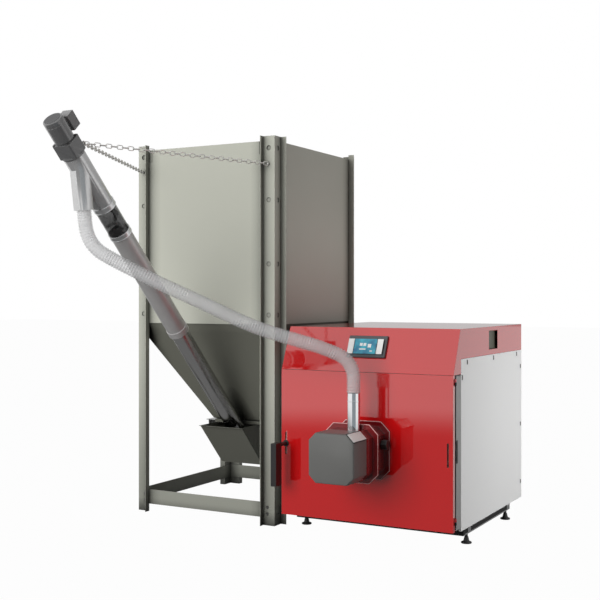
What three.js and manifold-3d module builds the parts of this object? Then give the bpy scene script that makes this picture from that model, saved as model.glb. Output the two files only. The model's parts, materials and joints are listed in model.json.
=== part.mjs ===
// Pellet boiler with its fuel hopper, inclined screw feeder and feed hose.
// Millimetres, +Z up, the burner side faces -Y. The sizes are first set out from the outer corner
// of the hopper's front right post, and the finished group is then centred over its own footprint.

import * as THREE from 'three';
import { mergeVertices } from 'three/addons/utils/BufferGeometryUtils.js';
import Module from 'manifold-3d';

const wasm = await Module();
wasm.setup();

// Clearances and counts
const gap = 0.3;
const overrun = 12;
const roundSides = 20;
const smallSides = 12;
const holeSides = 10;

// Hopper frame
const hopperWidth = 778;
const hopperDepth = 843;
const hopperHeight = 1800;
const postLeg = 62.4;
const postLip = 27.4;
const postSheet = 3;
const postHoleRadius = 12;
const chainHoleRadius = 5;
const chainHoleDrop = 130;
const railHeight = 70.8;
const railDepth = 25;
const railSheet = 2.5;
const bottomRailBase = 35.4;

// Hopper walls and funnel
const wallSheet = 2;
const wallBottom = 927;
const wallTopDrop = 21.4;
const wallNotchWidth = 22;
const wallNotchHeight = 60;
const wallHoleShares = [0.053, 0.33, 0.678, 0.96];
const funnelTuck = 20;
const funnelFlange = 24;
const funnelFlangeDrop = 47;
const funnelFlangeTaper = 20;

// Outlet, slide gate and trough
const outletSize = 234;
const outletTop = 435;
const outletHeight = 15.7;
const outletRim = 16;
const outletFrontRim = 8;
const gateSheet = 3;
const gateSlotAbove = 4.4;
const gateSlotDepth = 4;
const gateGrip = 55;
const gateGripDrop = 25;
const troughBottom = 213;
const troughWall = 2;
const troughSideOverlap = 4;
const troughFront = 160.5;
const troughFloorFront = 37.5;
const troughFloorLength = 158;
const troughBackRise = 45;
const troughLip = 10;

// Inclined screw feeder
const augerFoot = new THREE.Vector3(-366, 396, 255);
const augerElevation = THREE.MathUtils.degToRad(45.27);
const tubeRadius = 42;
const tubeWall = 2;
const sleeveRadius = 46;
const intakeStart = 10;
const intakeEnd = 318;
const intakeDepthShare = 0.42;
const sleeveStart = 925;
const sleeveOverlap = 60;
const collarRadius = 49;
const collarLength = 20;
const windowStart = 1510;
const windowEnd = 1660;
const windowWall = 3;
const windowRingRadius = 50;
const windowRingLength = 24;
const headEnd = 1922;
const screwRadius = 36;
const screwShaftRadius = 9;
const screwBore = 15;
const screwPitch = 80;
const screwThickness = 4;
const screwStart = -6;
const screwEnd = 1876;
const screwHubLength = 30;
const screwShaftReach = 30;
const screwStepsPerTurn = 8;

// Outlet spout of the feeder
const spoutStation = 1871.9;
const spoutLength = 180.8;
const spoutLean = THREE.MathUtils.degToRad(8.5);
const spoutRadius = 40;
const spoutWall = 2.5;
const spoutEndPlate = 3;

// Drive of the feeder
const driveWidth = 89;
const driveDepth = 79;
const driveLength = 71;
const driveChamfer = 6;
const driveRimRadius = 48;
const driveRimLength = 8;
const motorRadius = 41.5;
const motorLength = 104.5;
const motorNeckRadius = 36;
const motorNeckLength = 6;
const motorEdge = 6;
const terminalWidth = 50;
const terminalDepth = 43;
const terminalLength = 68;
const terminalStandOff = 10;
const terminalTopDrop = 29;
const eyeOffset = 32;
const eyeRise = 14;
const eyeWidth = 16;
const eyeSheet = 4;
const eyeHoleRadius = 4;
const eyeStation = 10;

// Stay chains between the drive and the hopper
const linkLength = 33;
const linkPitch = 27;
const linkWidth = 15;
const linkThickness = 5;
const chainPinRadius = 4.5;

// Feed hose
const hoseRadius = 30;
const hoseBore = 24;
const hoseRibDepth = 2.2;
const hoseRibs = 80;
const hoseSides = 8;
const hoseRibsPerBoreRing = 5;

// Boiler casing
const casingLeft = 87;
const casingWidth = 814;
const casingSheet = 2;
const casingReturn = 10;
const doorFront = -87.1;
const doorThickness = 21;
const panelFront = 2;
const panelBack = 863.7;
const panelBottom = 74;
const panelTop = 795.5;
const doorBottom = 83.4;
const doorTop = 731.7;
const doorSideInset = 2.5;
const doorSheet = 2;
const doorHoodGap = 1.3;
const hoodTop = 922.2;
const hoodSlopeDepth = 82.3;
const doorSlotLength = 100;
const doorSlotWidth = 8;
const doorSlotInset = 22.5;
const hoodPortLength = 123;
const hoodPortHeight = 84;
const hoodPortFront = 454;
const hoodPortBase = 24;
const panelSlotLength = 21;
const panelSlotWidth = 13;
const panelSlotInset = 16;

// Boiler body
const bodyInset = 11;
const bodyFront = -64;
const bodyBack = 845;
const bodyBottom = 84;
const bodyTop = 780;
const bodyPlate = 6;
const chamberWidth = 410;
const chamberBottom = 150;
const chamberHeight = 460;
const chamberBack = 560;
const turnBack = 770;
const turnHeight = 150;
const flueDuctCount = 6;
const flueDuctWidth = 44;
const flueDuctPitch = 66;
const flueDuctFront = 600;
const flueDuctDepth = 120;
const smokeBoxBottom = 620;
const smokeBoxFront = 580;
const smokeBoxBack = 762;
const lidPlate = 6;
const lidOverlap = 24;
const lidKnobHeight = 7;
const lidKnobRadius = 12;
const turbulatorWidth = 28;
const turbulatorSheet = 3;
const turbulatorDepth = 70;
const flueRadius = 65;
const flueHeight = 690;
const flueReach = 80;
const flueWall = 2;
const waterPipeRadius = 17;
const waterPipeWall = 3;
const waterPipeReach = 60;
const flowPipeHeight = 700;
const returnPipeHeight = 170;
const waterPipeInset = 110;
const ashPanHeight = 40;
const ashPanSheet = 2;
const ashPanFront = -8;
const ashPanDepth = 540;
const ashPanClearance = 10;

// Base and levelling feet
const baseTop = 73.7;
const baseBottom = 45;
const baseSheet = 3;
const baseRailWidth = 40;
const baseSideInset = 5;
const baseFront = 45;
const baseBack = 690;
const footRadius = 23;
const footThickness = 12;
const footStemRadius = 6;
const footSideInset = 18;
const footFront = 117.5;
const footBack = 660.8;
const footNutRadius = 10;
const footNutThickness = 8;

// Door furniture
const hingeAxisY = -64;
const hingeKnuckleRadius = 7;
const hingePinRadius = 3.5;
const hingeKnuckleLength = 14;
const hingeLeafLength = 38;
const hingeLeafThickness = 4;
const hingeArm = 18;
const hingeUpperBase = 690;
const hingeLowerBase = 112;
const hingeNotch = 1.5;
const handleInset = 22.8;
const handleHeight = 402;
const handleGripWidth = 27;
const handleGripDepth = 50;
const handleGripLength = 188;
const handleGripAbove = 11;
const handleReach = 114;
const handleShaftRadius = 9;
const handleCamRadius = 16;
const handleCamThickness = 5;
const handleRoseRadius = 15;
const handleRoseThickness = 4;
const insulationPlate = 3;
const insulationPlateInset = 4;
const plugClearance = 10;
const plugDepth = 50;

// Burner on the door
const burnerX = 492.7;
const burnerZ = 402;
const burnerWidth = 204;
const burnerHeight = 206;
const burnerChamfer = 31;
const burnerSheet = 2;
const burnerFlange = 248;
const burnerFlangeChamfer = 40;
const rearFlangeThickness = 4.6;
const rearHousingEnd = -204;
const frontFlangeThickness = 5.7;
const frontHousingEnd = -275;
const coverEnd = -402;
const coverWall = 3;
const coverEdge = 7;
const burnerTubeRadius = 75;
const burnerTubeWall = 4;
const burnerTubeReach = 186;
const burnerTubeInside = 38;
const grateWidth = 104;
const grateDepth = 126;
const grateSheet = 4;
const grateDrop = 34;
const bulkheadSheet = 3;
const fanMotorRadius = 35;
const fanMotorLength = 47;
const fanShaftRadius = 5;
const fanShaftClearance = 0.6;
const fanDiscRadius = 78;
const fanDiscThickness = 3;
const fanBladeHeight = 32;
const fanBladeCount = 8;
const fanBladeSheet = 3;
const fanHubRadius = 15;
const fanStandOff = 32;
const inletX = 517.5;
const inletY = -237;
const inletRadius = 26.5;
const inletWall = 2.5;
const inletTop = 656.7;
const inletInside = 24;
const inletBeadDrop = 31;
const inletBeadHeight = 5;
const inletBeadRadius = 28.5;
const knobRadius = 22;
const knobLength = 27;
const knobStudRadius = 4;
const knobStudLength = 14;
const knobFromDoor = 33;
const knobAboveAxis = 31;

// Controller on the hood slope
const displayWidth = 182;
const displayHeight = 101;
const displayThickness = 12;
const displayLeft = 313.7;
const displayAlongSlope = 64;
const displayChamfer = 4;

// Route of the feed hose, as laid
const hoseRoute = [
  [-366, -894.5, 1405.8], [-366, -889.9, 1375.2], [-366, -885.3, 1344.5], [-362.6, -881.5, 1318.9],
  [-355.6, -876, 1294.2], [-344.6, -869.6, 1271.5], [-331, -859.6, 1251.5], [-318.3, -850.3, 1237.8],
  [-269.3, -814.3, 1202.5], [-214.4, -774.1, 1167], [-172.5, -743.3, 1140.5], [-126.6, -709.6, 1112],
  [-61.5, -661.9, 1074.5], [3.9, -613.9, 1037], [69.6, -565.7, 998], [135.6, -517.2, 960],
  [202.4, -468.2, 926], [248.3, -434.5, 907], [293.5, -401.4, 889.5], [335.4, -370.6, 874.5],
  [375.7, -341.1, 859.5], [412, -314.4, 844.5], [444.2, -290.8, 829], [473.2, -269.5, 812.3],
  [491.6, -256, 794.8], [505.7, -245.7, 772], [514.5, -239.2, 745.5], [517.5, -237, 717],
  [517.5, -237, 687], [517.5, -237, 657],
];

// Materials
function paint(color, roughness, metalness) {
  return new THREE.MeshStandardMaterial({ color, roughness, metalness, flatShading: true });
}

const hopperPaint = paint('#a9aa9c', 0.5, 0.35);
const funnelPaint = paint('#55564c', 0.55, 0.35);
const boilerRed = paint('#c02023', 0.28, 0.1);
const casingWhite = paint('#d5d5d3', 0.5, 0.05);
const bareSteel = paint('#a8a8a6', 0.35, 0.9);
const darkCast = paint('#4b4b4b', 0.5, 0.5);
const blackPlastic = paint('#1c1c1d', 0.5, 0);
const screenGlass = paint('#12262b', 0.1, 0);
const coverPlastic = paint('#5d5e5e', 0.4, 0.1);
const refractory = paint('#c9c0ae', 0.95, 0);
const vesselPaint = paint('#8d8d8b', 0.6, 0.2);
const hosePlastic = paint('#d8dadb', 0.35, 0);
const clearPlastic = paint('#cfd8dc', 0.1, 0);

// Turning three.js geometry into solids and back
function toSolid(geometry) {
  const bare = geometry.clone();
  bare.deleteAttribute('normal');
  bare.deleteAttribute('uv');
  const merged = mergeVertices(bare);
  const vertProperties = new Float32Array(merged.attributes.position.array);
  const triVerts = new Uint32Array(merged.index.array);
  return new wasm.Manifold(new wasm.Mesh({ numProp: 3, vertProperties, triVerts }));
}

function add(parent, name, solid, material) {
  const { vertProperties, triVerts } = solid.getMesh();
  const geometry = new THREE.BufferGeometry();
  geometry.setAttribute('position', new THREE.BufferAttribute(new Float32Array(vertProperties), 3));
  geometry.setIndex(new THREE.BufferAttribute(new Uint32Array(triVerts), 1));
  geometry.computeVertexNormals();
  const mesh = new THREE.Mesh(geometry, material);
  mesh.name = name;
  parent.add(mesh);
}

function joined(solids) {
  return solids.reduce((sum, next) => sum.add(next));
}

// Basic solids
function block(x0, x1, y0, y1, z0, z1) {
  const geometry = new THREE.BoxGeometry(x1 - x0, y1 - y0, z1 - z0);
  geometry.translate((x0 + x1) / 2, (y0 + y1) / 2, (z0 + z1) / 2);
  return toSolid(geometry);
}

function extruded(outline, depth, basis, place) {
  const shape = new THREE.Shape(outline.map(([a, b]) => new THREE.Vector2(a, b)));
  const geometry = new THREE.ExtrudeGeometry(shape, { depth, bevelEnabled: false });
  geometry.applyMatrix4(new THREE.Matrix4().makeBasis(...basis));
  geometry.translate(place.x, place.y, place.z);
  return toSolid(geometry);
}

const unitX = new THREE.Vector3(1, 0, 0);
const unitY = new THREE.Vector3(0, 1, 0);
const unitZ = new THREE.Vector3(0, 0, 1);

// An outline in Y and Z, drawn out along X
function alongX(outline, x0, x1) {
  return extruded(outline, x1 - x0, [unitY, unitZ, unitX], new THREE.Vector3(x0, 0, 0));
}

// An outline in X and Z, drawn out along Y
function alongY(outline, y0, y1) {
  const back = unitY.clone().negate();
  return extruded(outline, y1 - y0, [unitX, unitZ, back], new THREE.Vector3(0, y1, 0));
}

// An outline in X and Y, drawn out along Z
function alongZ(outline, z0, z1) {
  return extruded(outline, z1 - z0, [unitX, unitY, unitZ], new THREE.Vector3(0, 0, z0));
}

function rod(start, end, radius, sides = roundSides) {
  const reach = end.clone().sub(start);
  const geometry = new THREE.CylinderGeometry(radius, radius, reach.length(), sides);
  const turn = new THREE.Quaternion().setFromUnitVectors(unitY, reach.clone().normalize());
  geometry.applyQuaternion(turn);
  geometry.translate(...start.clone().addScaledVector(reach, 0.5));
  return toSolid(geometry);
}

function rodX(x0, x1, y, z, radius, sides) {
  return rod(new THREE.Vector3(x0, y, z), new THREE.Vector3(x1, y, z), radius, sides);
}

function rodY(x, y0, y1, z, radius, sides) {
  return rod(new THREE.Vector3(x, y0, z), new THREE.Vector3(x, y1, z), radius, sides);
}

function rodZ(x, y, z0, z1, radius, sides) {
  return rod(new THREE.Vector3(x, y, z0), new THREE.Vector3(x, y, z1), radius, sides);
}

// A round piece about local Z, from a closed profile of radius and height
function turned(profile, sides = roundSides) {
  const points = [...profile, profile[0]].map(([r, z]) => new THREE.Vector2(r, z));
  const geometry = new THREE.LatheGeometry(points, sides);
  geometry.rotateX(Math.PI / 2);
  return toSolid(geometry);
}

function ring(outer, inner, z0, z1, sides) {
  return turned([[inner, z0], [outer, z0], [outer, z1], [inner, z1]], sides);
}

// A solid through convex rings of as many points each, counted anticlockwise about its way
function lofted(rings) {
  const count = rings[0].length;
  const position = rings.flatMap((points) => points.flatMap(({ x, y, z }) => [x, y, z]));
  const index = [];
  for (let i = 0; i < rings.length - 1; i += 1) {
    for (let j = 0; j < count; j += 1) {
      const a = i * count + j;
      const b = i * count + (j + 1) % count;
      index.push(a, b, b + count, a, b + count, a + count);
    }
  }
  const last = (rings.length - 1) * count;
  for (let j = 1; j < count - 1; j += 1) {
    index.push(0, j + 1, j, last, last + j, last + j + 1);
  }
  const geometry = new THREE.BufferGeometry();
  geometry.setAttribute('position', new THREE.Float32BufferAttribute(position, 3));
  geometry.setIndex(index);
  return toSolid(geometry);
}

// A path shifted to its left, with mitred corners
function offsetPath(path, distance) {
  const points = path.map(([a, b]) => new THREE.Vector2(a, b));
  const normals = points.slice(1).map((point, i) => {
    const run = point.clone().sub(points[i]).normalize();
    return new THREE.Vector2(-run.y, run.x);
  });
  return points.map((point, i) => {
    const before = normals[Math.max(i - 1, 0)];
    const after = normals[Math.min(i, normals.length - 1)];
    const middle = before.clone().add(after).normalize();
    const shifted = point.clone().addScaledVector(middle, distance / middle.dot(before));
    return [shifted.x, shifted.y];
  });
}

// The outline of sheet metal folded along a path, its thickness to the left
function foldedSheet(path, thickness) {
  return [...path, ...offsetPath(path, thickness).reverse()];
}

function mirrored(outline, middle) {
  return outline.map(([a, b]) => [2 * middle - a, b]);
}

// An octagon: a rectangle with its four corners cut off
function octagon(x, z, halfWidth, halfHeight, chamfer) {
  const w = halfWidth - chamfer;
  const h = halfHeight - chamfer;
  const corners = [
    [w, -halfHeight], [halfWidth, -h], [halfWidth, h], [w, halfHeight],
    [-w, halfHeight], [-halfWidth, h], [-halfWidth, -h], [-w, -halfHeight],
  ];
  return corners.map(([a, b]) => [x + a, z + b]);
}

const octagonShrink = 2 - Math.SQRT2;

function burnerOctagon(inset) {
  const chamfer = burnerChamfer - inset * octagonShrink;
  return octagon(burnerX, burnerZ, burnerWidth / 2 - inset, burnerHeight / 2 - inset, chamfer);
}

const model = new THREE.Group();

// Places of the hopper
const hopperX = -hopperWidth / 2;
const hopperY = hopperDepth / 2;
const wallFace = postSheet + gap;
const wallInner = wallFace + wallSheet;
const linerFace = wallInner + gap;
const wallTop = hopperHeight - wallTopDrop;
const wallHeight = wallTop - wallBottom;
const outletHalf = outletSize / 2;
const outletBottom = outletTop - outletHeight;
const chainHoleHeight = hopperHeight - chainHoleDrop;

// The four corner posts, each a folded angle with outward lips
function addPosts() {
  const fold = [
    [postLeg, -postLip], [postLeg, postSheet], [postSheet, postSheet], [postSheet, postLeg],
    [-postLip, postLeg],
  ];
  const outline = foldedSheet(fold, postSheet);
  const corners = [
    ['post_front_right', 0, 0, -1, 1], ['post_front_left', -hopperWidth, 0, 1, 1],
    ['post_rear_right', 0, hopperDepth, -1, -1], ['post_rear_left', -hopperWidth, hopperDepth, 1, -1],
  ];
  for (const [name, x, y, inwardX, inwardY] of corners) {
    const section = outline.map(([u, v]) => [x + inwardX * u, y + inwardY * v]);
    let post = alongZ(section, 0, hopperHeight);
    const holeX = x + inwardX * postLeg / 2;
    const holeY = y + inwardY * postLeg / 2;
    for (const share of wallHoleShares) {
      const z = wallBottom + share * wallHeight;
      post = post.subtract(rodY(holeX, y - overrun, y + overrun, z, postHoleRadius, holeSides));
      post = post.subtract(rodX(x - overrun, x + overrun, holeY, z, postHoleRadius, holeSides));
    }
    if (inwardY > 0) {
      post = post.subtract(rodY(
        holeX, y - overrun, y + overrun, chainHoleHeight, chainHoleRadius, smallSides,
      ));
    }
    add(model, name, post, hopperPaint);
  }
}

// A ring of four channel rails, its outer faces a given distance inside the posts' corners
function railRing(inset, z0, z1) {
  const x0 = -hopperWidth + inset;
  const x1 = -inset;
  const y0 = inset;
  const y1 = hopperDepth - inset;
  const ringSolid = block(x0, x1, y0, y1, z0, z1);
  const hollow = block(
    x0 + railSheet, x1 - railSheet, y0 + railSheet, y1 - railSheet, z0 + railSheet, z1 - railSheet,
  );
  const middle = block(
    x0 + railDepth, x1 - railDepth, y0 + railDepth, y1 - railDepth, z0 - overrun, z1 + overrun,
  );
  return ringSolid.subtract(hollow).subtract(middle);
}

// A ring of plain bands, its outer faces as far inside the posts' corners as those of the walls
function bandRing(z0, z1) {
  const x0 = -hopperWidth + wallFace;
  const y1 = hopperDepth - wallFace;
  const middle = block(
    x0 + railSheet, -wallFace - railSheet, wallFace + railSheet, y1 - railSheet, z0 - overrun, z1 + overrun,
  );
  return block(x0, -wallFace, wallFace, y1, z0, z1).subtract(middle);
}

function addRails() {
  add(model, 'bottom_frame', bandRing(bottomRailBase, bottomRailBase + railHeight), hopperPaint);
  const topFrame = railRing(linerFace, wallTop - railHeight, wallTop);
  add(model, 'top_frame', topFrame, hopperPaint);
}

// The hopper's wall sheets, behind the posts' legs
function addWalls() {
  const left = -hopperWidth + wallFace;
  const right = -wallFace;
  const notchTop = wallTop - wallNotchHeight;
  const notchIn = postLeg + wallNotchWidth - wallFace;
  const faceOutline = [
    [left, wallBottom], [right, wallBottom], [right, notchTop], [right - notchIn, notchTop],
    [right - notchIn, wallTop], [left + notchIn, wallTop], [left + notchIn, notchTop], [left, notchTop],
  ];
  add(model, 'wall_front', alongY(faceOutline, wallFace, wallInner), hopperPaint);
  add(model, 'wall_rear', alongY(faceOutline, hopperDepth - wallInner, hopperDepth - wallFace), hopperPaint);
  const y0 = linerFace;
  const y1 = hopperDepth - linerFace;
  const rightWall = block(-wallInner, -wallFace, y0, y1, wallBottom, wallTop);
  const leftWall = block(-hopperWidth + wallFace, -hopperWidth + wallInner, y0, y1, wallBottom, wallTop);
  add(model, 'wall_right', rightWall, hopperPaint);
  add(model, 'wall_left', leftWall, hopperPaint);
}

// The funnel under the walls: two faces with corner flanges and two sides between them
function addFunnel() {
  const top = wallBottom + funnelTuck;
  const bottom = outletTop + gap;
  const facePath = [[linerFace, top], [linerFace, wallBottom], [hopperY - outletHalf, bottom]];
  const sidePath = [[-linerFace, top], [-linerFace, wallBottom], [hopperX + outletHalf, bottom]];

  const slope = (sidePath[2][0] - sidePath[1][0]) / (wallBottom - bottom);
  const cornerAt = (z) => -linerFace + slope * (wallBottom - z);
  const flangeTop = wallBottom - funnelFlangeDrop;
  const flangeStart = flangeTop - funnelFlangeTaper / 2;
  const flangeEnd = bottom + funnelFlangeTaper / 4;
  const rightEdge = [
    [cornerAt(bottom), bottom], [cornerAt(flangeEnd) + funnelFlange, flangeEnd],
    [cornerAt(flangeStart) + funnelFlange, flangeStart], [cornerAt(flangeTop), flangeTop],
    [-linerFace, wallBottom], [-linerFace, top],
  ];
  const faceOutline = [...rightEdge, ...mirrored(rightEdge, hopperX).reverse()];
  const facePlate = alongY(faceOutline, 0, hopperDepth);
  const frontSheet = foldedSheet(facePath, wallSheet);
  const x0 = -hopperWidth;
  add(model, 'funnel_front', alongX(frontSheet, x0, 0).intersect(facePlate), funnelPaint);
  const rearSheet = mirrored(frontSheet, hopperY);
  add(model, 'funnel_rear', alongX(rearSheet, x0, 0).intersect(facePlate), funnelPaint);

  const innerFront = offsetPath(facePath, wallSheet + gap);
  const sideOutline = [...innerFront, ...mirrored(innerFront, hopperY).reverse()];
  const sidePlate = alongX(sideOutline, x0, 0);
  const rightSheet = foldedSheet([...sidePath].reverse(), wallSheet);
  add(model, 'funnel_right', alongY(rightSheet, 0, hopperDepth).intersect(sidePlate), funnelPaint);
  const leftSheet = mirrored(rightSheet, hopperX);
  add(model, 'funnel_left', alongY(leftSheet, 0, hopperDepth).intersect(sidePlate), funnelPaint);
}

// The outlet frame with its slot, and the plate that slides in it
function addOutlet() {
  const x0 = hopperX - outletHalf;
  const x1 = hopperX + outletHalf;
  const y0 = hopperY - outletHalf;
  const y1 = hopperY + outletHalf;
  const slotFloor = outletTop - gateSlotAbove - gateSheet - 2 * gap;
  const slotRoof = outletTop - gateSlotAbove;
  const frame = block(
    x0 - outletRim, x1 + outletRim, y0 - outletFrontRim, y1 + outletRim, outletBottom, outletTop,
  );
  const hole = block(x0, x1, y0, y1, outletBottom - overrun, outletTop + overrun);
  const slot = block(
    x0 - outletRim - overrun, x1 + gateSlotDepth, y0 - gateSlotDepth, y1 + gateSlotDepth, slotFloor, slotRoof,
  );
  add(model, 'outlet_frame', frame.subtract(hole).subtract(slot), funnelPaint);

  const gateLeft = x0 - outletRim - gateGrip;
  const gateTop = slotRoof - gap;
  const gateBottom = slotFloor + gap;
  const plate = block(
    gateLeft, x1 + gateSlotDepth - gap,
    y0 - gateSlotDepth + gap, y1 + gateSlotDepth - gap, gateBottom, gateTop,
  );
  const grip = block(
    gateLeft, gateLeft + gateSheet, y0 + outletRim, y1 - outletRim, gateBottom - gateGripDrop, gateTop,
  );
  add(model, 'slide_gate', plate.add(grip), bareSteel);
}

// The open trough under the outlet, where the feeder takes up the fuel
function addTrough() {
  const y0 = hopperY - outletHalf;
  const top = outletBottom - gap;
  const back = hopperY + outletHalf;
  const floorBack = y0 + troughFloorFront + troughFloorLength;
  const outline = [
    [y0 - troughFront, top], [y0 + troughFloorFront, troughBottom],
    [floorBack, troughBottom], [Math.min(floorBack + troughBackRise, back + outletRim), top],
  ];
  const x0 = hopperX - outletHalf - troughSideOverlap;
  const x1 = hopperX + outletHalf + troughSideOverlap;
  const path = offsetPath(outline, troughWall);
  const runOut = ([a, b], [c, d]) => [c + (c - a) * overrun / (d - b), d + overrun];
  const inner = [runOut(path[1], path[0]), path[1], path[2], runOut(path[2], path[3])];
  const shell = alongX(outline, x0, x1).subtract(alongX(inner, x0 + troughWall, x1 - troughWall));
  const lipFront = y0 - troughFront - troughLip;
  const lip = block(x0, x1, lipFront, lipFront + troughLip + troughWall, top - troughWall, top);
  add(model, 'trough', shell.add(lip), funnelPaint);
}

// The feeder's own axes: local Z runs up its tube, local Y lies over it
const augerTilt = Math.PI / 2 - augerElevation;
const auger = new THREE.Group();
auger.position.copy(augerFoot);
auger.rotation.x = augerTilt;
model.add(auger);

// Where the tube's lower end comes to rest on the trough's floor
const tubeRestHeight = troughBottom + troughWall + gap;
const tubeStart = (tubeRestHeight - augerFoot.z + tubeRadius * Math.sin(augerTilt)) / Math.cos(augerTilt);

function addTubes() {
  const tubeEnd = sleeveStart + sleeveOverlap;
  const tube = ring(tubeRadius, tubeRadius - tubeWall, tubeStart, tubeEnd);
  const reach = tubeRadius + overrun;
  const cutTop = -intakeDepthShare * tubeRadius;
  const intake = block(-reach, reach, -reach, cutTop, intakeStart, intakeEnd);
  add(auger, 'auger_tube_lower', tube.subtract(intake), bareSteel);

  const sleeveBore = tubeRadius + gap;
  const sleeve = ring(sleeveRadius, sleeveBore, sleeveStart, windowStart - gap / 2);
  const collar = ring(collarRadius, sleeveBore, sleeveStart - collarLength, sleeveStart + collarLength / 2);
  add(auger, 'auger_tube_upper', sleeve.add(collar), bareSteel);

  const windowTube = ring(sleeveRadius, sleeveRadius - windowWall, windowStart + gap / 2, windowEnd - gap / 2);
  add(auger, 'auger_window', windowTube, clearPlastic);
  const rings = [['window_ring_lower', windowStart], ['window_ring_upper', windowEnd]];
  for (const [name, station] of rings) {
    const half = windowRingLength / 2;
    add(auger, name, ring(windowRingRadius, sleeveRadius + gap, station - half, station + half), bareSteel);
  }
}

// The top of the tube with the spout that lets the fuel fall into the hose
function addHead() {
  const outlet = new THREE.Vector3(0, 0, spoutStation);
  const down = new THREE.Vector3(0, 0, -1).applyAxisAngle(unitX, spoutLean - augerTilt);
  const along = (distance) => outlet.clone().addScaledVector(down, distance);
  const bore = tubeRadius + gap;
  const start = windowEnd + gap / 2;
  const sleeve = rod(new THREE.Vector3(0, 0, start), new THREE.Vector3(0, 0, headEnd), sleeveRadius);
  const sleeveBore = rod(
    new THREE.Vector3(0, 0, start - overrun), new THREE.Vector3(0, 0, headEnd - spoutEndPlate), bore,
  );
  const shaftHole = rod(outlet, new THREE.Vector3(0, 0, headEnd + overrun), screwShaftRadius + 2 * gap);
  const spout = rod(outlet, along(spoutLength), spoutRadius);
  const spoutBore = rod(outlet, along(spoutLength - spoutEndPlate), spoutRadius - spoutWall);
  const mouth = rod(outlet, along(spoutLength + overrun), hoseBore);
  const head = sleeve.add(spout).subtract(sleeveBore).subtract(shaftHole).subtract(spoutBore).subtract(mouth);
  add(auger, 'auger_head', head, bareSteel);
}

// The conveying screw: a flat helical spiral without a core, welded to a short drive shaft
function addScrew() {
  const turns = (screwEnd - screwStart) / screwPitch;
  const steps = Math.round(turns * screwStepsPerTurn);
  const half = screwThickness / 2;
  const section = [[screwBore, -half], [screwBore, half], [screwRadius, half], [screwRadius, -half]];
  const rings = [];
  for (let i = 0; i <= steps; i += 1) {
    const share = i / steps;
    const angle = share * turns * 2 * Math.PI;
    const station = THREE.MathUtils.lerp(screwStart, screwEnd, share);
    rings.push(section.map(([radius, rise]) => new THREE.Vector3(
      radius * Math.cos(angle), radius * Math.sin(angle), station + rise,
    )));
  }
  const hubRadius = screwBore + screwThickness;
  const hub = rodZ(0, 0, screwEnd - screwHubLength, screwEnd + screwThickness, hubRadius, smallSides);
  const shaft = rodZ(0, 0, screwEnd, headEnd + screwShaftReach, screwShaftRadius, smallSides);
  add(auger, 'auger_screw', joined([lofted(rings), hub, shaft]), bareSteel);
}

// The gear housing, the motor on it and the terminal box on the motor's upper side
function addDrive() {
  const z0 = headEnd + gap;
  const z1 = z0 + driveLength;
  const outline = octagon(0, 0, driveWidth / 2, driveDepth / 2, driveChamfer);
  const rim = rodZ(0, 0, z0, z0 + driveRimLength, driveRimRadius);
  const shaftBore = rodZ(
    0, 0, z0 - overrun, z0 + screwShaftReach + 2 * gap, screwShaftRadius + gap, smallSides,
  );
  const housing = alongZ(outline, z0 + driveRimLength / 2, z1).add(rim).subtract(shaftBore);
  add(auger, 'drive_housing', housing, darkCast);

  const m0 = z1 + gap;
  const m1 = m0 + motorLength;
  const motorProfile = [
    [0, m0], [motorNeckRadius, m0], [motorNeckRadius, m0 + motorNeckLength],
    [motorRadius, m0 + motorNeckLength], [motorRadius, m1 - motorEdge],
    [motorRadius - motorEdge, m1], [0, m1],
  ];
  add(auger, 'motor', turned(motorProfile), darkCast);

  const t1 = m1 - terminalTopDrop;
  const t0 = t1 - terminalLength;
  const boxFloor = motorRadius + terminalStandOff;
  const box = block(-terminalWidth / 2, terminalWidth / 2, boxFloor, boxFloor + terminalDepth, t0, t1);
  const neckHalf = terminalWidth / 4;
  const neckInset = terminalLength / 8;
  const neck = block(
    -neckHalf, neckHalf, motorRadius / 2, boxFloor + terminalStandOff, t0 + neckInset, t1 - neckInset,
  );
  const seat = rodZ(0, 0, t0 - overrun, t1 + overrun, motorRadius + gap, roundSides);
  add(auger, 'terminal_box', box.add(neck.subtract(seat)), darkCast);
}

// The lug on the gear housing that both chains hook into
const eyeLocal = new THREE.Vector3(eyeOffset, driveDepth / 2 + gap, headEnd + gap + driveRimLength + eyeStation);

function addEye() {
  const { x, y, z } = eyeLocal;
  const half = eyeWidth / 2;
  const lug = block(x - eyeSheet / 2, x + eyeSheet / 2, y, y + eyeRise, z - half, z + half);
  const hole = rodX(x - overrun, x + overrun, y + eyeRise / 2, z, eyeHoleRadius, smallSides);
  add(auger, 'chain_eye', lug.subtract(hole), bareSteel);
}

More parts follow.
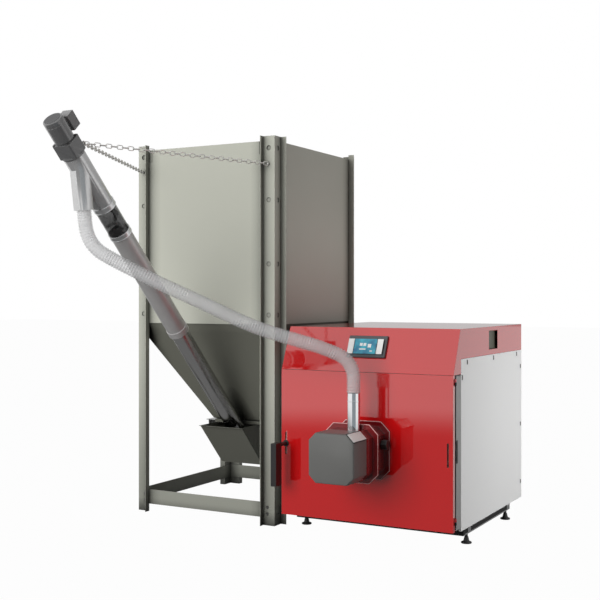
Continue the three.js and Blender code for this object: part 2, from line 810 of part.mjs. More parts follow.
// A taut chain of flat links, each turned a quarter from the last, hooked into the lug and a post
function addChain(name, postMiddle) {
  auger.updateMatrixWorld();
  const side = Math.sign(postMiddle - augerFoot.x);
  const inEye = (outward) => new THREE.Vector3(
    eyeLocal.x + side * outward, eyeLocal.y + eyeRise / 2, eyeLocal.z,
  ).applyMatrix4(auger.matrixWorld);
  const start = inEye(0);
  const reach = new THREE.Vector3(postMiddle, 0, chainHoleHeight).sub(start);
  const length = reach.length();
  const along = (distance) => start.clone().addScaledVector(reach, distance / length);
  const turn = new THREE.Matrix4().makeRotationFromQuaternion(
    new THREE.Quaternion().setFromUnitVectors(unitX, reach.clone().normalize()),
  );
  const first = eyeWidth + gap;
  const last = length - linkWidth / 2;
  const count = Math.ceil((last - first) / linkPitch);
  const pitch = (last - first) / count;
  const neck = (linkLength - linkPitch) / 2;
  const corners = [[-1, -1], [1, -1], [1, 1], [-1, 1]];
  const rings = [];
  for (let i = 0; i < count; i += 1) {
    const wide = (i % 2 ? linkWidth : linkThickness) / 2;
    const tall = (i % 2 ? linkThickness : linkWidth) / 2;
    for (const at of [first + i * pitch, first + (i + 1) * pitch - neck]) {
      const section = corners.map(([a, b]) => new THREE.Vector3(at, a * wide, b * tall));
      rings.push(section.map((point) => point.applyMatrix4(turn).add(start)));
    }
  }
  const solids = [lofted(rings)];
  const eyePin = eyeHoleRadius - 2 * gap;
  const beside = eyeSheet / 2 + gap + 2 * eyePin;
  solids.push(rod(inEye(gap), inEye(beside + eyePin), eyePin, smallSides));
  solids.push(rod(inEye(beside), along(first + linkThickness), eyePin - gap, smallSides));
  const atPost = new THREE.Vector3(postMiddle, -2 * linkThickness, chainHoleHeight);
  solids.push(rod(along(last - linkThickness), atPost, chainPinRadius - gap, smallSides));
  solids.push(rodY(
    postMiddle, atPost.y - chainPinRadius, postSheet, chainHoleHeight, chainPinRadius, smallSides,
  ));
  add(model, name, joined(solids), bareSteel);
}

// The ribbed hose: crest and root rings outside, fewer rings along its bore
function addHose() {
  const curve = new THREE.CatmullRomCurve3(
    hoseRoute.map(([x, y, z]) => new THREE.Vector3(x, y, z)), false, 'centripetal',
  );
  curve.arcLengthDivisions = 20 * hoseRoute.length;
  const rings = 2 * hoseRibs;
  const frames = curve.computeFrenetFrames(rings, false);
  const position = [];
  const pushRing = (step, radius) => {
    const centre = curve.getPointAt(step / rings);
    for (let j = 0; j < hoseSides; j += 1) {
      const angle = (2 * Math.PI * j) / hoseSides;
      const point = centre.clone()
        .addScaledVector(frames.normals[step], radius * Math.cos(angle))
        .addScaledVector(frames.binormals[step], radius * Math.sin(angle));
      position.push(point.x, point.y, point.z);
    }
  };
  for (let step = 0; step <= rings; step += 1) {
    pushRing(step, hoseRadius - (step % 2 ? 0 : hoseRibDepth));
  }
  const boreSteps = [];
  for (let step = 0; step <= rings; step += 2 * hoseRibsPerBoreRing) {
    boreSteps.push(step);
    pushRing(step, hoseBore);
  }
  const index = [];
  const bridge = (from, to) => {
    for (let j = 0; j < hoseSides; j += 1) {
      const k = (j + 1) % hoseSides;
      index.push(from + j, from + k, to + k, from + j, to + k, to + j);
    }
  };
  const outer = (step) => step * hoseSides;
  const inner = (i) => (rings + 1 + i) * hoseSides;
  for (let step = 0; step < rings; step += 1) {
    bridge(outer(step), outer(step + 1));
  }
  for (let i = 0; i < boreSteps.length - 1; i += 1) {
    bridge(inner(i + 1), inner(i));
  }
  bridge(inner(0), outer(0));
  bridge(outer(rings), inner(boreSteps.length - 1));
  const hose = new THREE.BufferGeometry();
  hose.setAttribute('position', new THREE.Float32BufferAttribute(position, 3));
  hose.setIndex(index);
  add(model, 'feed_hose', toSolid(hose), hosePlastic);
}

// Places of the boiler
const casingRight = casingLeft + casingWidth;
const doorBack = doorFront + doorThickness;
const doorLeft = casingLeft;
const doorRight = casingRight - doorSideInset;
const hoodBottom = doorTop + doorHoodGap;
const hoodRest = panelTop + gap;
const bodyLeft = casingLeft + bodyInset;
const bodyRight = casingRight - bodyInset;
const chamberTop = chamberBottom + chamberHeight;
const chamberHalf = chamberWidth / 2;

// The parts of the fire side, each grown by a margin
function fireSide(margin) {
  const x0 = burnerX - chamberHalf - margin;
  const x1 = burnerX + chamberHalf + margin;
  const chamber = block(
    x0, x1, bodyFront - overrun, chamberBack + margin, chamberBottom - margin, chamberTop + margin,
  );
  const turn = block(
    x0, x1, chamberBack - overrun, turnBack + margin,
    chamberBottom - margin, chamberBottom + turnHeight + margin,
  );
  const smokeBox = block(
    x0, x1, smokeBoxFront - margin, smokeBoxBack + margin, smokeBoxBottom - margin, bodyTop + overrun,
  );
  const flue = rodY(burnerX, smokeBoxBack - overrun, bodyBack + overrun, flueHeight, flueRadius + margin);
  const parts = [chamber, turn, smokeBox, flue];
  for (let i = 0; i < flueDuctCount; i += 1) {
    const x = ductMiddle(i);
    const half = flueDuctWidth / 2 + margin;
    parts.push(block(
      x - half, x + half, flueDuctFront - margin, flueDuctFront + flueDuctDepth + margin,
      chamberBottom + turnHeight - overrun, smokeBoxBottom + overrun,
    ));
  }
  return joined(parts);
}

function ductMiddle(i) {
  return burnerX + (i - (flueDuctCount - 1) / 2) * flueDuctPitch;
}

const waterPipes = [['flow_pipe', flowPipeHeight], ['return_pipe', returnPipeHeight]];
const waterPipeX = bodyRight - waterPipeInset;

// The welded vessel: an outer jacket round the fire side, with the water between them
function addBody() {
  const jacket = block(bodyLeft, bodyRight, bodyFront, bodyBack, bodyBottom, bodyTop);
  const inside = block(
    bodyLeft + bodyPlate, bodyRight - bodyPlate, bodyFront + bodyPlate, bodyBack - bodyPlate,
    bodyBottom + bodyPlate, bodyTop - bodyPlate,
  );
  let body = jacket.subtract(inside.subtract(fireSide(bodyPlate))).subtract(fireSide(0));
  for (const [, z] of waterPipes) {
    const port = rodY(waterPipeX, bodyBack - 2 * bodyPlate, bodyBack + overrun, z, waterPipeRadius + gap);
    body = body.subtract(port);
  }
  add(model, 'boiler_body', body, vesselPaint);
}

// The cleaning lid of the smoke box, with its knob, and the comb of flue turbulators
function addSmokeBox() {
  const x0 = burnerX - chamberHalf;
  const x1 = burnerX + chamberHalf;
  const z = bodyTop + gap;
  const plate = block(
    x0 - lidOverlap, x1 + lidOverlap, smokeBoxFront - lidOverlap, smokeBoxBack + lidOverlap, z, z + lidPlate,
  );
  const middle = (smokeBoxFront + smokeBoxBack) / 2;
  const knob = rodZ(burnerX, middle, z, z + lidPlate + lidKnobHeight, lidKnobRadius, smallSides);
  add(model, 'smoke_box_lid', plate.add(knob), bareSteel);

  const barZ = smokeBoxBottom + gap;
  const y0 = flueDuctFront + (flueDuctDepth - turbulatorDepth) / 2;
  const bar = block(
    ductMiddle(0) - flueDuctWidth / 2, ductMiddle(flueDuctCount - 1) + flueDuctWidth / 2,
    y0, y0 + 3 * turbulatorSheet, barZ, barZ + 3 * turbulatorSheet,
  );
  const pieces = [bar];
  const blades = 3;
  const ductBottom = chamberBottom + turnHeight;
  const bladePitch = (barZ - ductBottom) / blades;
  for (let i = 0; i < flueDuctCount; i += 1) {
    const x = ductMiddle(i);
    const half = turbulatorWidth / 2;
    pieces.push(block(
      x - turbulatorSheet, x + turbulatorSheet, y0, y0 + 3 * turbulatorSheet, ductBottom, barZ + turbulatorSheet,
    ));
    for (let j = 0; j < blades; j += 1) {
      const bladeZ = ductBottom + j * bladePitch;
      pieces.push(block(
        x - half, x + half, y0 + turbulatorSheet, y0 + turbulatorDepth, bladeZ, bladeZ + turbulatorSheet,
      ));
    }
  }
  add(model, 'turbulators', joined(pieces), bareSteel);
}

// The flue collar and the two water pipes through the back panel
function addConnections() {
  const outer = flueRadius - gap;
  const start = bodyBack - 2 * bodyPlate;
  const end = panelBack + flueReach;
  const collar = rodY(burnerX, start, end, flueHeight, outer)
    .subtract(rodY(burnerX, start - overrun, end + overrun, flueHeight, outer - flueWall));
  add(model, 'flue_collar', collar, bareSteel);
  for (const [name, z] of waterPipes) {
    const pipeEnd = panelBack + waterPipeReach;
    const pipe = rodY(waterPipeX, bodyBack - bodyPlate, pipeEnd, z, waterPipeRadius)
      .subtract(rodY(waterPipeX, start, pipeEnd + overrun, z, waterPipeRadius - waterPipeWall));
    add(model, name, pipe, bareSteel);
  }
}

// The ash pan on the floor of the combustion chamber
function addAshPan() {
  const x0 = burnerX - chamberHalf + ashPanClearance;
  const x1 = burnerX + chamberHalf - ashPanClearance;
  const y1 = ashPanFront + ashPanDepth;
  const z = chamberBottom + gap;
  const top = z + ashPanHeight;
  const pan = block(x0, x1, ashPanFront, y1, z, top);
  const hollow = block(
    x0 + ashPanSheet, x1 - ashPanSheet, ashPanFront + ashPanSheet, y1 - ashPanSheet, z + ashPanSheet, top + overrun,
  );
  add(model, 'ash_pan', pan.subtract(hollow), bareSteel);
}

// Side panels as trays with folded edges, and the back panel between them
function addPanels() {
  const sides = [['side_panel_left', casingLeft, 1], ['side_panel_right', casingRight, -1]];
  for (const [name, face, inward] of sides) {
    const sheetIn = face + inward * casingSheet;
    const returnIn = face + inward * casingReturn;
    const outer = block(
      Math.min(face, returnIn), Math.max(face, returnIn), panelFront, panelBack, panelBottom, panelTop,
    );
    const beyond = returnIn + inward * overrun;
    const hollow = block(
      Math.min(sheetIn, beyond), Math.max(sheetIn, beyond),
      panelFront + casingSheet, panelBack - casingSheet, panelBottom + casingSheet, panelTop - casingSheet,
    );
    let panel = outer.subtract(hollow);
    const halfWidth = panelSlotWidth / 2;
    const halfLength = panelSlotLength / 2;
    for (const [y, z] of panelSlots()) {
      panel = panel.subtract(block(
        face - overrun, face + overrun, y - halfWidth, y + halfWidth, z - halfLength, z + halfLength,
      ));
    }
    add(model, name, panel, casingWhite);
  }
  const x0 = casingLeft + casingReturn + gap;
  const x1 = casingRight - casingReturn - gap;
  let back = block(x0, x1, panelBack - casingSheet, panelBack, panelBottom, panelTop);
  const edges = block(x0, x1, bodyBack + gap, panelBack, panelBottom, panelTop).subtract(block(
    x0 + casingSheet, x1 - casingSheet, bodyBack - overrun, panelBack + overrun,
    panelBottom + casingSheet, panelTop - casingSheet,
  ));
  back = back.add(edges);
  const through = (x, z, radius) => rodY(x, panelBack - overrun, panelBack + overrun, z, radius);
  back = back.subtract(through(burnerX, flueHeight, flueRadius + gap));
  for (const [, z] of waterPipes) {
    back = back.subtract(through(waterPipeX, z, waterPipeRadius + gap));
  }
  add(model, 'back_panel', back, casingWhite);
}

// Fixing slots near the edges of a side panel
function panelSlots() {
  const front = panelFront + panelSlotInset;
  const back = panelBack - panelSlotInset;
  const middle = (front + back) / 2;
  const top = panelTop - panelSlotInset;
  const bottom = panelBottom + panelSlotInset;
  const slots = [];
  for (const y of [front + postLeg, middle, back - postLeg]) {
    slots.push([y, top]);
  }
  const rows = [top - postLeg, (top + bottom) / 2, bottom + postLeg];
  for (const z of rows) {
    slots.push([back, z]);
  }
  slots.push([front, rows[0]]);
  return slots;
}

// The hood: a folded cover with a sloping front and a port in its right side
function addHood() {
  const outline = [
    [doorFront, hoodBottom], [doorFront + hoodSlopeDepth, hoodTop], [panelBack, hoodTop],
    [panelBack, hoodRest], [panelFront, hoodRest], [panelFront, hoodBottom],
  ];
  const skin = offsetPath(outline.slice(0, 4), -casingSheet);
  const run = (skin[1][0] - skin[0][0]) / (skin[1][1] - skin[0][1]);
  const below = hoodBottom - overrun;
  const inner = [[skin[1][0] - run * (skin[1][1] - below), below], skin[1], skin[2], [skin[3][0], below]];
  const shell = alongX(outline, casingLeft, casingRight)
    .subtract(alongX(inner, casingLeft + casingSheet, casingRight - casingSheet));
  const portY = doorFront + hoodPortFront;
  const portZ = hoodRest + hoodPortBase;
  const port = block(
    casingRight - overrun, casingRight + overrun, portY, portY + hoodPortLength, portZ, portZ + hoodPortHeight,
  );
  add(model, 'hood', shell.subtract(port), boilerRed);
}

// The controller: a flat case that lies on the hood's slope
function addDisplay() {
  const slope = Math.atan2(hoodTop - hoodBottom, hoodSlopeDepth);
  const half = displayHeight / 2 - displayChamfer;
  const outline = [
    [-displayHeight / 2, 0], [displayHeight / 2, 0], [displayHeight / 2, displayThickness - displayChamfer],
    [half, displayThickness], [-half, displayThickness], [-displayHeight / 2, displayThickness - displayChamfer],
  ];
  const middle = displayAlongSlope + displayHeight / 2;
  const x0 = casingLeft + displayLeft;
  const lift = (u, v) => [
    doorFront + u * Math.cos(slope) - v * Math.sin(slope),
    hoodBottom + u * Math.sin(slope) + v * Math.cos(slope),
  ];
  const placed = outline.map(([u, v]) => lift(middle + u, v + gap));
  add(model, 'display', alongX(placed, x0, x0 + displayWidth), screenGlass);
}

// The base: two skids, a front and a rear tie, each a channel, with holes for the feet
const footPlaces = [
  ['foot_front_left', casingLeft + footSideInset, footFront],
  ['foot_front_right', casingRight - footSideInset, footFront],
  ['foot_rear_left', casingLeft + footSideInset, footBack],
  ['foot_rear_right', casingRight - footSideInset, footBack],
];

function addBase() {
  const x0 = casingLeft + baseSideInset;
  const x1 = casingRight - baseSideInset;
  const outer = block(x0, x1, baseFront, baseBack, baseBottom, baseTop);
  const hollow = block(
    x0 + baseSheet, x1 - baseSheet, baseFront + baseSheet, baseBack - baseSheet,
    baseBottom - overrun, baseTop - baseSheet,
  );
  const middle = block(
    x0 + baseRailWidth, x1 - baseRailWidth, baseFront + baseRailWidth, baseBack - baseRailWidth,
    baseBottom - overrun, baseTop + overrun,
  );
  let base = outer.subtract(hollow).subtract(middle);
  for (const [, x, y] of footPlaces) {
    base = base.subtract(rodZ(x, y, baseBottom, baseTop + overrun, footStemRadius + gap, smallSides));
  }
  add(model, 'base_frame', base, blackPlastic);

  for (const [name, x, y] of footPlaces) {
    const nutTop = baseTop - baseSheet - gap;
    const profile = [
      [0, 0], [footRadius, 0], [footRadius, footThickness / 2], [footStemRadius, footThickness],
      [footStemRadius, nutTop - footNutThickness], [footNutRadius, nutTop - footNutThickness],
      [footNutRadius, nutTop], [footStemRadius, nutTop], [footStemRadius, baseTop], [0, baseTop],
    ];
    add(model, name, turned(profile, smallSides).translate([x, y, 0]), darkCast);
  }
}

// Hinges: a fixed knuckle with its pin on the body, and a knuckle with its arm on the door
function addHinges() {
  const hinges = [['hinge_upper', hingeUpperBase], ['hinge_lower', hingeLowerBase]];
  for (const [name, z] of hinges) {
    const top = z + hingeKnuckleLength;
    const knuckle = rodZ(doorRight, hingeAxisY, z, top, hingeKnuckleRadius, smallSides);
    const leafX = bodyRight + gap;
    const leaf = block(
      leafX, leafX + hingeLeafThickness, hingeAxisY + gap, hingeAxisY + hingeLeafLength,
      z - hingeKnuckleLength, top,
    );
    const web = block(leafX, doorRight, hingeAxisY + gap, hingeAxisY + hingeKnuckleRadius, z, top);
    const pin = rodZ(doorRight, hingeAxisY, z, top + hingeKnuckleLength, hingePinRadius, smallSides);
    add(model, name, joined([knuckle, leaf, web, pin]), blackPlastic);
  }
}

const hingeBases = [hingeUpperBase, hingeLowerBase];

function doorKnuckle(base) {
  const z0 = base + hingeKnuckleLength + gap;
  const z1 = z0 + hingeKnuckleLength - gap;
  const knuckle = rodZ(doorRight, hingeAxisY, z0, z1, hingeKnuckleRadius, smallSides);
  const arm = block(doorRight - hingeArm, doorRight, doorBack - doorSheet, hingeAxisY - gap, z0, z1);
  return knuckle.add(arm);
}

// The door: a tray of sheet with the burner's hole, two slots and its hinge knuckles
function addDoor() {
  const tray = block(doorLeft, doorRight, doorFront, doorBack, doorBottom, doorTop);
  const hollow = block(
    doorLeft + doorSheet, doorRight - doorSheet, doorFront + doorSheet, doorBack + overrun,
    doorBottom + doorSheet, doorTop - doorSheet,
  );
  let door = tray.subtract(hollow);
  for (const base of hingeBases) {
    const z1 = base + hingeKnuckleLength + gap;
    const notchRadius = hingeKnuckleRadius + hingeNotch;
    door = door.subtract(rodZ(doorRight, hingeAxisY, base - gap, z1, notchRadius, smallSides));
    door = door.add(doorKnuckle(base));
    const boreTop = z1 + hingeKnuckleLength + gap;
    door = door.subtract(rodZ(doorRight, hingeAxisY, base, boreTop, hingePinRadius + gap, smallSides));
  }
  const through = (x, z, radius) => rodY(x, doorFront - overrun, doorFront + overrun, z, radius);
  door = door.subtract(through(burnerX, burnerZ, burnerTubeRadius + gap));
  door = door.subtract(through(doorLeft + handleInset, handleHeight, handleShaftRadius + 2 * gap));
  for (const x of [doorLeft + doorSlotInset, doorRight - doorSlotInset]) {
    const half = doorSlotWidth / 2;
    door = door.subtract(block(
      x - half, x + half, doorFront - overrun, doorFront + overrun / 2,
      handleHeight - doorSlotLength / 2, handleHeight + doorSlotLength / 2,
    ));
  }
  add(model, 'door', door, boilerRed);

  const plateBack = doorBack - gap;
  const plateFront = plateBack - insulationPlate;
  const inset = doorSheet + gap;
  const plate = block(
    doorLeft + inset, doorRight - hingeArm - gap, plateFront, plateBack, doorBottom + inset, doorTop - inset,
  );
  const plugBottom = chamberBottom + ashPanHeight + plugClearance;
  const plug = block(
    burnerX - chamberHalf + plugClearance, burnerX + chamberHalf - plugClearance,
    plateFront, bodyFront + plugDepth, plugBottom, chamberTop - plugClearance,
  );
  const bore = rodY(
    burnerX, plateFront - overrun, bodyFront + plugDepth + overrun, burnerZ, burnerTubeRadius + gap,
  );
  const camRoom = rodY(
    doorLeft + handleInset, plateFront - overrun, plateBack + overrun, handleHeight,
    handleCamRadius + insulationPlateInset,
  );
  add(model, 'door_insulation', plate.add(plug).subtract(bore).subtract(camRoom), refractory);
}

// The lever that turns the latch: a rose, a shaft through the door, a cam and a hanging grip
function addHandle() {
  const x = doorLeft + handleInset;
  const z = handleHeight;
  const y0 = doorFront - handleReach;
  const camFront = doorFront + doorSheet + gap;
  const camBack = camFront + handleCamThickness;
  const shaft = rodY(x, y0 + handleGripDepth / 2, camBack, z, handleShaftRadius, smallSides);
  const cam = rodY(x, camFront, camBack, z, handleCamRadius, smallSides);
  const roseBack = doorFront - gap;
  const rose = rodY(x, roseBack - handleRoseThickness, roseBack, z, handleRoseRadius, smallSides);
  const grip = block(
    x - handleGripWidth / 2, x + handleGripWidth / 2, y0, y0 + handleGripDepth,
    z + handleGripAbove - handleGripLength, z + handleGripAbove,
  );
  add(model, 'door_handle', joined([shaft, cam, rose, grip]), blackPlastic);
}

// The burner's two housings with their flanges
const rearFlangeBack = doorFront - gap;
const rearFlangeFront = rearFlangeBack - rearFlangeThickness;
const frontFlangeBack = rearHousingEnd - gap;
const frontFlangeFront = frontFlangeBack - frontFlangeThickness;
const knobY = doorFront - knobFromDoor;
const knobZ = burnerZ + knobAboveAxis;

function flangePlate(y0, y1) {
  const half = burnerFlange / 2;
  return alongY(octagon(burnerX, burnerZ, half, half, burnerFlangeChamfer), y0, y1);
}

function addHousings() {
  const rearShell = alongY(burnerOctagon(0), rearHousingEnd, rearFlangeBack);
  const rearHollow = alongY(burnerOctagon(burnerSheet), rearHousingEnd - overrun, rearFlangeFront);
  const tubeHole = rodY(
    burnerX, rearFlangeFront - overrun, rearFlangeBack + overrun, burnerZ, burnerTubeRadius + gap,
  );
  const side = burnerX + burnerWidth / 2;
  const studHole = rodX(side - overrun, side + overrun, knobY, knobZ, knobStudRadius + gap, smallSides);
  const rear = rearShell.subtract(rearHollow).add(flangePlate(rearFlangeFront, rearFlangeBack));
  add(model, 'burner_rear_housing', rear.subtract(tubeHole).subtract(studHole), boilerRed);

  const bulkheadBack = frontHousingEnd + bulkheadSheet;
  const frontShell = alongY(burnerOctagon(0), frontHousingEnd, frontFlangeBack)
    .add(flangePlate(frontFlangeFront, frontFlangeBack));
  const frontHollow = alongY(burnerOctagon(burnerSheet), bulkheadBack, frontFlangeBack + overrun);
  const fanMotor = rodY(burnerX, frontHousingEnd + gap, bulkheadBack + fanMotorLength, burnerZ, fanMotorRadius);
  const shaftBore = rodY(
    burnerX, frontHousingEnd - overrun, bulkheadBack + fanMotorLength - bulkheadSheet, burnerZ,
    fanShaftRadius + fanShaftClearance, smallSides,
  );
  const pipeHole = rodZ(inletX, inletY, burnerZ, burnerZ + burnerHeight, inletRadius + gap);
  const pipeRoom = rodZ(
    inletX, inletY, burnerZ + burnerHeight / 2 - inletInside - gap, burnerZ + burnerHeight, inletRadius + gap,
  );
  const front = frontShell.subtract(frontHollow).subtract(pipeHole).add(fanMotor.subtract(pipeRoom));
  add(model, 'burner_front_housing', front.subtract(shaftBore), boilerRed);
}

// The dark cover over the fan, with softened front edges
function addCover() {
  const back = frontHousingEnd - gap;
  const shape = new THREE.Shape(burnerOctagon(coverEdge).map(([a, b]) => new THREE.Vector2(a, b)));
  const depth = back - coverEnd;
  const outerGeometry = new THREE.ExtrudeGeometry(shape, {
    depth, bevelThickness: coverEdge, bevelSize: coverEdge, bevelSegments: 2,
  });
  const forward = unitY.clone().negate();
  outerGeometry.applyMatrix4(new THREE.Matrix4().makeBasis(unitX, unitZ, forward));
  outerGeometry.translate(0, back + coverEdge, 0);
  const reach = burnerWidth;
  const behind = block(
    burnerX - reach, burnerX + reach, back, back + coverEdge + overrun + depth, burnerZ - reach, burnerZ + reach,
  );
  const hollow = alongY(burnerOctagon(coverEdge + coverWall), coverEnd + coverWall + coverEdge / 2, back + overrun);
  const cover = toSolid(outerGeometry).subtract(behind).subtract(hollow);
  add(model, 'burner_cover', cover, coverPlastic);
}

// The burner tube through the door, with its grate
function addBurnerTube() {
  const y0 = rearFlangeFront - burnerTubeInside;
  const y1 = burnerTubeReach;
  const inner = burnerTubeRadius - burnerTubeWall;
  const tube = rodY(burnerX, y0, y1, burnerZ, burnerTubeRadius)
    .subtract(rodY(burnerX, y0 - overrun, y1 + overrun, burnerZ, inner));
  const half = grateWidth / 2 + burnerTubeWall * 3;
  const top = burnerZ - grateDrop;
  const grate = block(burnerX - half, burnerX + half, y1 - grateDepth, y1, top - grateSheet, top)
    .intersect(rodY(burnerX, y0, y1, burnerZ, burnerTubeRadius));
  add(model, 'burner_tube', tube.add(grate), bareSteel);
}

// The pipe that the hose is pushed onto
function addInlet() {
  const bottom = burnerZ + burnerHeight / 2 - inletInside;
  const beadTop = inletTop - inletBeadDrop;
  const pipe = rodZ(inletX, inletY, bottom, inletTop, inletRadius)
    .add(rodZ(inletX, inletY, beadTop - inletBeadHeight, beadTop, inletBeadRadius))
    .subtract(rodZ(inletX, inletY, bottom - overrun, inletTop + overrun, inletRadius - inletWall));
  add(model, 'inlet_pipe', pipe, bareSteel);
}

// The hand knob that clamps the burner
function addKnob() {
  const x0 = burnerX + burnerWidth / 2 + gap;
  const profileSides = smallSides;
  const grip = rodX(x0, x0 + knobLength, knobY, knobZ, knobRadius, profileSides);
  const stud = rodX(x0 - knobStudLength, x0 + gap, knobY, knobZ, knobStudRadius, profileSides);
  add(model, 'clamp_knob', grip.add(stud), blackPlastic);
}

// The fan wheel behind the cover
function addFan() {
  const back = frontHousingEnd - fanStandOff;
  const shaftEnd = frontHousingEnd + fanMotorLength / 2;
  const pieces = [
    rodY(burnerX, back - fanDiscThickness, back, burnerZ, fanDiscRadius),
    rodY(burnerX, back - fanBladeHeight, back, burnerZ, fanHubRadius, smallSides),
    rodY(burnerX, back - fanDiscThickness, shaftEnd, burnerZ, fanShaftRadius, smallSides),
  ];
  for (let i = 0; i < fanBladeCount; i += 1) {
    const blade = new THREE.BoxGeometry(fanDiscRadius - fanHubRadius, fanBladeHeight, fanBladeSheet);
    const middle = (fanDiscRadius + fanHubRadius) / 2 - fanBladeSheet;
    blade.translate(middle, back - fanBladeHeight / 2, 0);
    const matrix = new THREE.Matrix4().makeTranslation(burnerX, 0, burnerZ);
    matrix.multiply(new THREE.Matrix4().makeRotationY((2 * Math.PI * i) / fanBladeCount));
    blade.applyMatrix4(matrix);
    pieces.push(toSolid(blade));
  }
  add(model, 'fan_wheel', joined(pieces), bareSteel);
}

addPosts();
addRails();
addWalls();
addFunnel();
addOutlet();
addTrough();
addTubes();
addHead();
addScrew();
addDrive();
addEye();
addChain('chain_right', -postLeg / 2);
addChain('chain_left', -hopperWidth + postLeg / 2);
addHose();
addBody();
addSmokeBox();
addConnections();
addAshPan();
addPanels();
addHood();
addDisplay();
addBase();
addHinges();
addDoor();
addHandle();
addHousings();
addCover();
addBurnerTube();
addInlet();
addKnob();
addFan();

// Centre the whole object over its own footprint
model.updateMatrixWorld(true);
const extent = new THREE.Box3().setFromObject(model, true);
const centre = extent.getCenter(new THREE.Vector3());
model.position.set(-centre.x, -centre.y, -extent.min.z);

export default model;
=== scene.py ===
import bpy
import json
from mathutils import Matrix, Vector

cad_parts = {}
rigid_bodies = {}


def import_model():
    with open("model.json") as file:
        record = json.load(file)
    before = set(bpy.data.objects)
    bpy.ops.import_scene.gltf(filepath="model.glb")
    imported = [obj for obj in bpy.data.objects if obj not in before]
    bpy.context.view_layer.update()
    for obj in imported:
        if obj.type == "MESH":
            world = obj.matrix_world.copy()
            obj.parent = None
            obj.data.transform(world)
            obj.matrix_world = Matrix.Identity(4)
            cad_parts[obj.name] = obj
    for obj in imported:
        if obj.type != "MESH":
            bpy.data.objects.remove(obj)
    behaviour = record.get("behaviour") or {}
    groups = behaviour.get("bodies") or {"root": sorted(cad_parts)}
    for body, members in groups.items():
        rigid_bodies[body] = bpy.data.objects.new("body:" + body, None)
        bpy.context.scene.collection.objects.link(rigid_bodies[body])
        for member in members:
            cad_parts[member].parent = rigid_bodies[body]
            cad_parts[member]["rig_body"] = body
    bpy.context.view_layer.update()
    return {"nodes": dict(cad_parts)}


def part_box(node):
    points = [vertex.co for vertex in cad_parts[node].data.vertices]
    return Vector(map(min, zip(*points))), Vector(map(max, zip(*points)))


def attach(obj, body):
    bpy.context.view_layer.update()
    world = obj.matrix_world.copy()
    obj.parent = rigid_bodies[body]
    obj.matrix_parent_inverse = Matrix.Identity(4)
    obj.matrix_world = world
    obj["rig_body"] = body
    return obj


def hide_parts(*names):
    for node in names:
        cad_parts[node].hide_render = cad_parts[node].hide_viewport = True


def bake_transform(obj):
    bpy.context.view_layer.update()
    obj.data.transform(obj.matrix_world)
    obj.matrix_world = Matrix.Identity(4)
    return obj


bl_info = {
    "name": "Pellet boiler with hopper, feeder and hose",
    "version": (1, 0, 0),
    "blender": (4, 5, 0),
    "location": "View3D > Sidebar > Boiler",
    "description": "Dresses the packed boiler, its hopper, feeder and hose",
    "category": "Object",
}

import json
import math

import bmesh
import bpy
from bpy.props import FloatProperty, FloatVectorProperty, IntProperty, PointerProperty
from bpy.types import Operator, PropertyGroup
from mathutils import Matrix, Vector

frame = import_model()

RIGHT, BACK, UP = Vector((1.0, 0.0, 0.0)), Vector((0.0, 1.0, 0.0)), Vector((0.0, 0.0, 1.0))
# Clearance between pieces that fit over or into one another
FIT = 0.0003

# The set-out corner: the outer corner of the hopper's front right post, at the floor
POSTS = ("post_front_right", "post_front_left", "post_rear_right", "post_rear_left")
POST_LIP = 0.0274
POST_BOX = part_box(POSTS[0])
SET_OUT = Vector((POST_BOX[1].x - POST_LIP, POST_BOX[0].y + POST_LIP, 0.0))

# The feeder's own axes: Z up its tube, Y over it
FEEDER_FOOT = (-0.366, 0.396, 0.255)
FEEDER_TILT = math.radians(44.73)

# The upright axis of the burner's inlet pipe, from the set-out corner
INLET_AXIS = (0.5175, -0.237)


def spot(x, y, z):
    """A place measured from the set-out corner, in the row frame."""
    return SET_OUT + Vector((x, y, z))


FEEDER = Matrix.Translation(spot(*FEEDER_FOOT)) @ Matrix.Rotation(FEEDER_TILT, 4, "X")


# Settings that a user would change


def length_prop(name, description, default):
    return FloatProperty(name=name, description=description, default=default, unit="LENGTH")


def power_prop(name, description, default):
    return FloatProperty(name=name, description=description, default=default, unit="POWER")


def share_prop(name, description, default):
    return FloatProperty(
        name=name, description=description, default=default, subtype="FACTOR", min=0.0, max=1.0,
    )


def colour_prop(name, description, default):
    return FloatVectorProperty(
        name=name, description=description, default=default, subtype="COLOR", min=0.0, max=1.0,
    )


class StageSettings(PropertyGroup):
    """Camera, floor and lamps."""

    lens: FloatProperty(name="Lens", description="Focal length", default=62.33, unit="CAMERA")
    heading: FloatProperty(
        name="Heading", description="Turn of the camera about Z",
        default=math.radians(28.6646), subtype="ANGLE",
    )
    place: FloatVectorProperty(
        name="Camera place", description="From the set-out corner",
        default=(2.3957, -4.1383, 1.066), subtype="TRANSLATION", unit="LENGTH",
    )
    shift: FloatProperty(name="Shift", description="Vertical shift of the lens", default=-0.0088)
    floor_size: length_prop("Floor size", "Side of the floor", 60.0)
    floor_colour: colour_prop("Floor colour", "Diffuse colour of the floor", (0.16, 0.16, 0.16))
    near_tone: share_prop("Near floor", "How bright the near floor is in reflections", 0.2)
    back_tone: share_prop("Back of the studio", "How bright the back is in reflections", 0.6)
    ambient: FloatProperty(
        name="Ambient light", description="Strength of the sky on matt surfaces", default=0.13,
    )
    key_power: power_prop("Key lamp", "Power of the front lamp", 318.0)
    fill_power: power_prop("Fill lamp", "Power of the right lamp", 26.0)
    top_power: power_prop("Top lamp", "Power of the lamp overhead", 14.0)


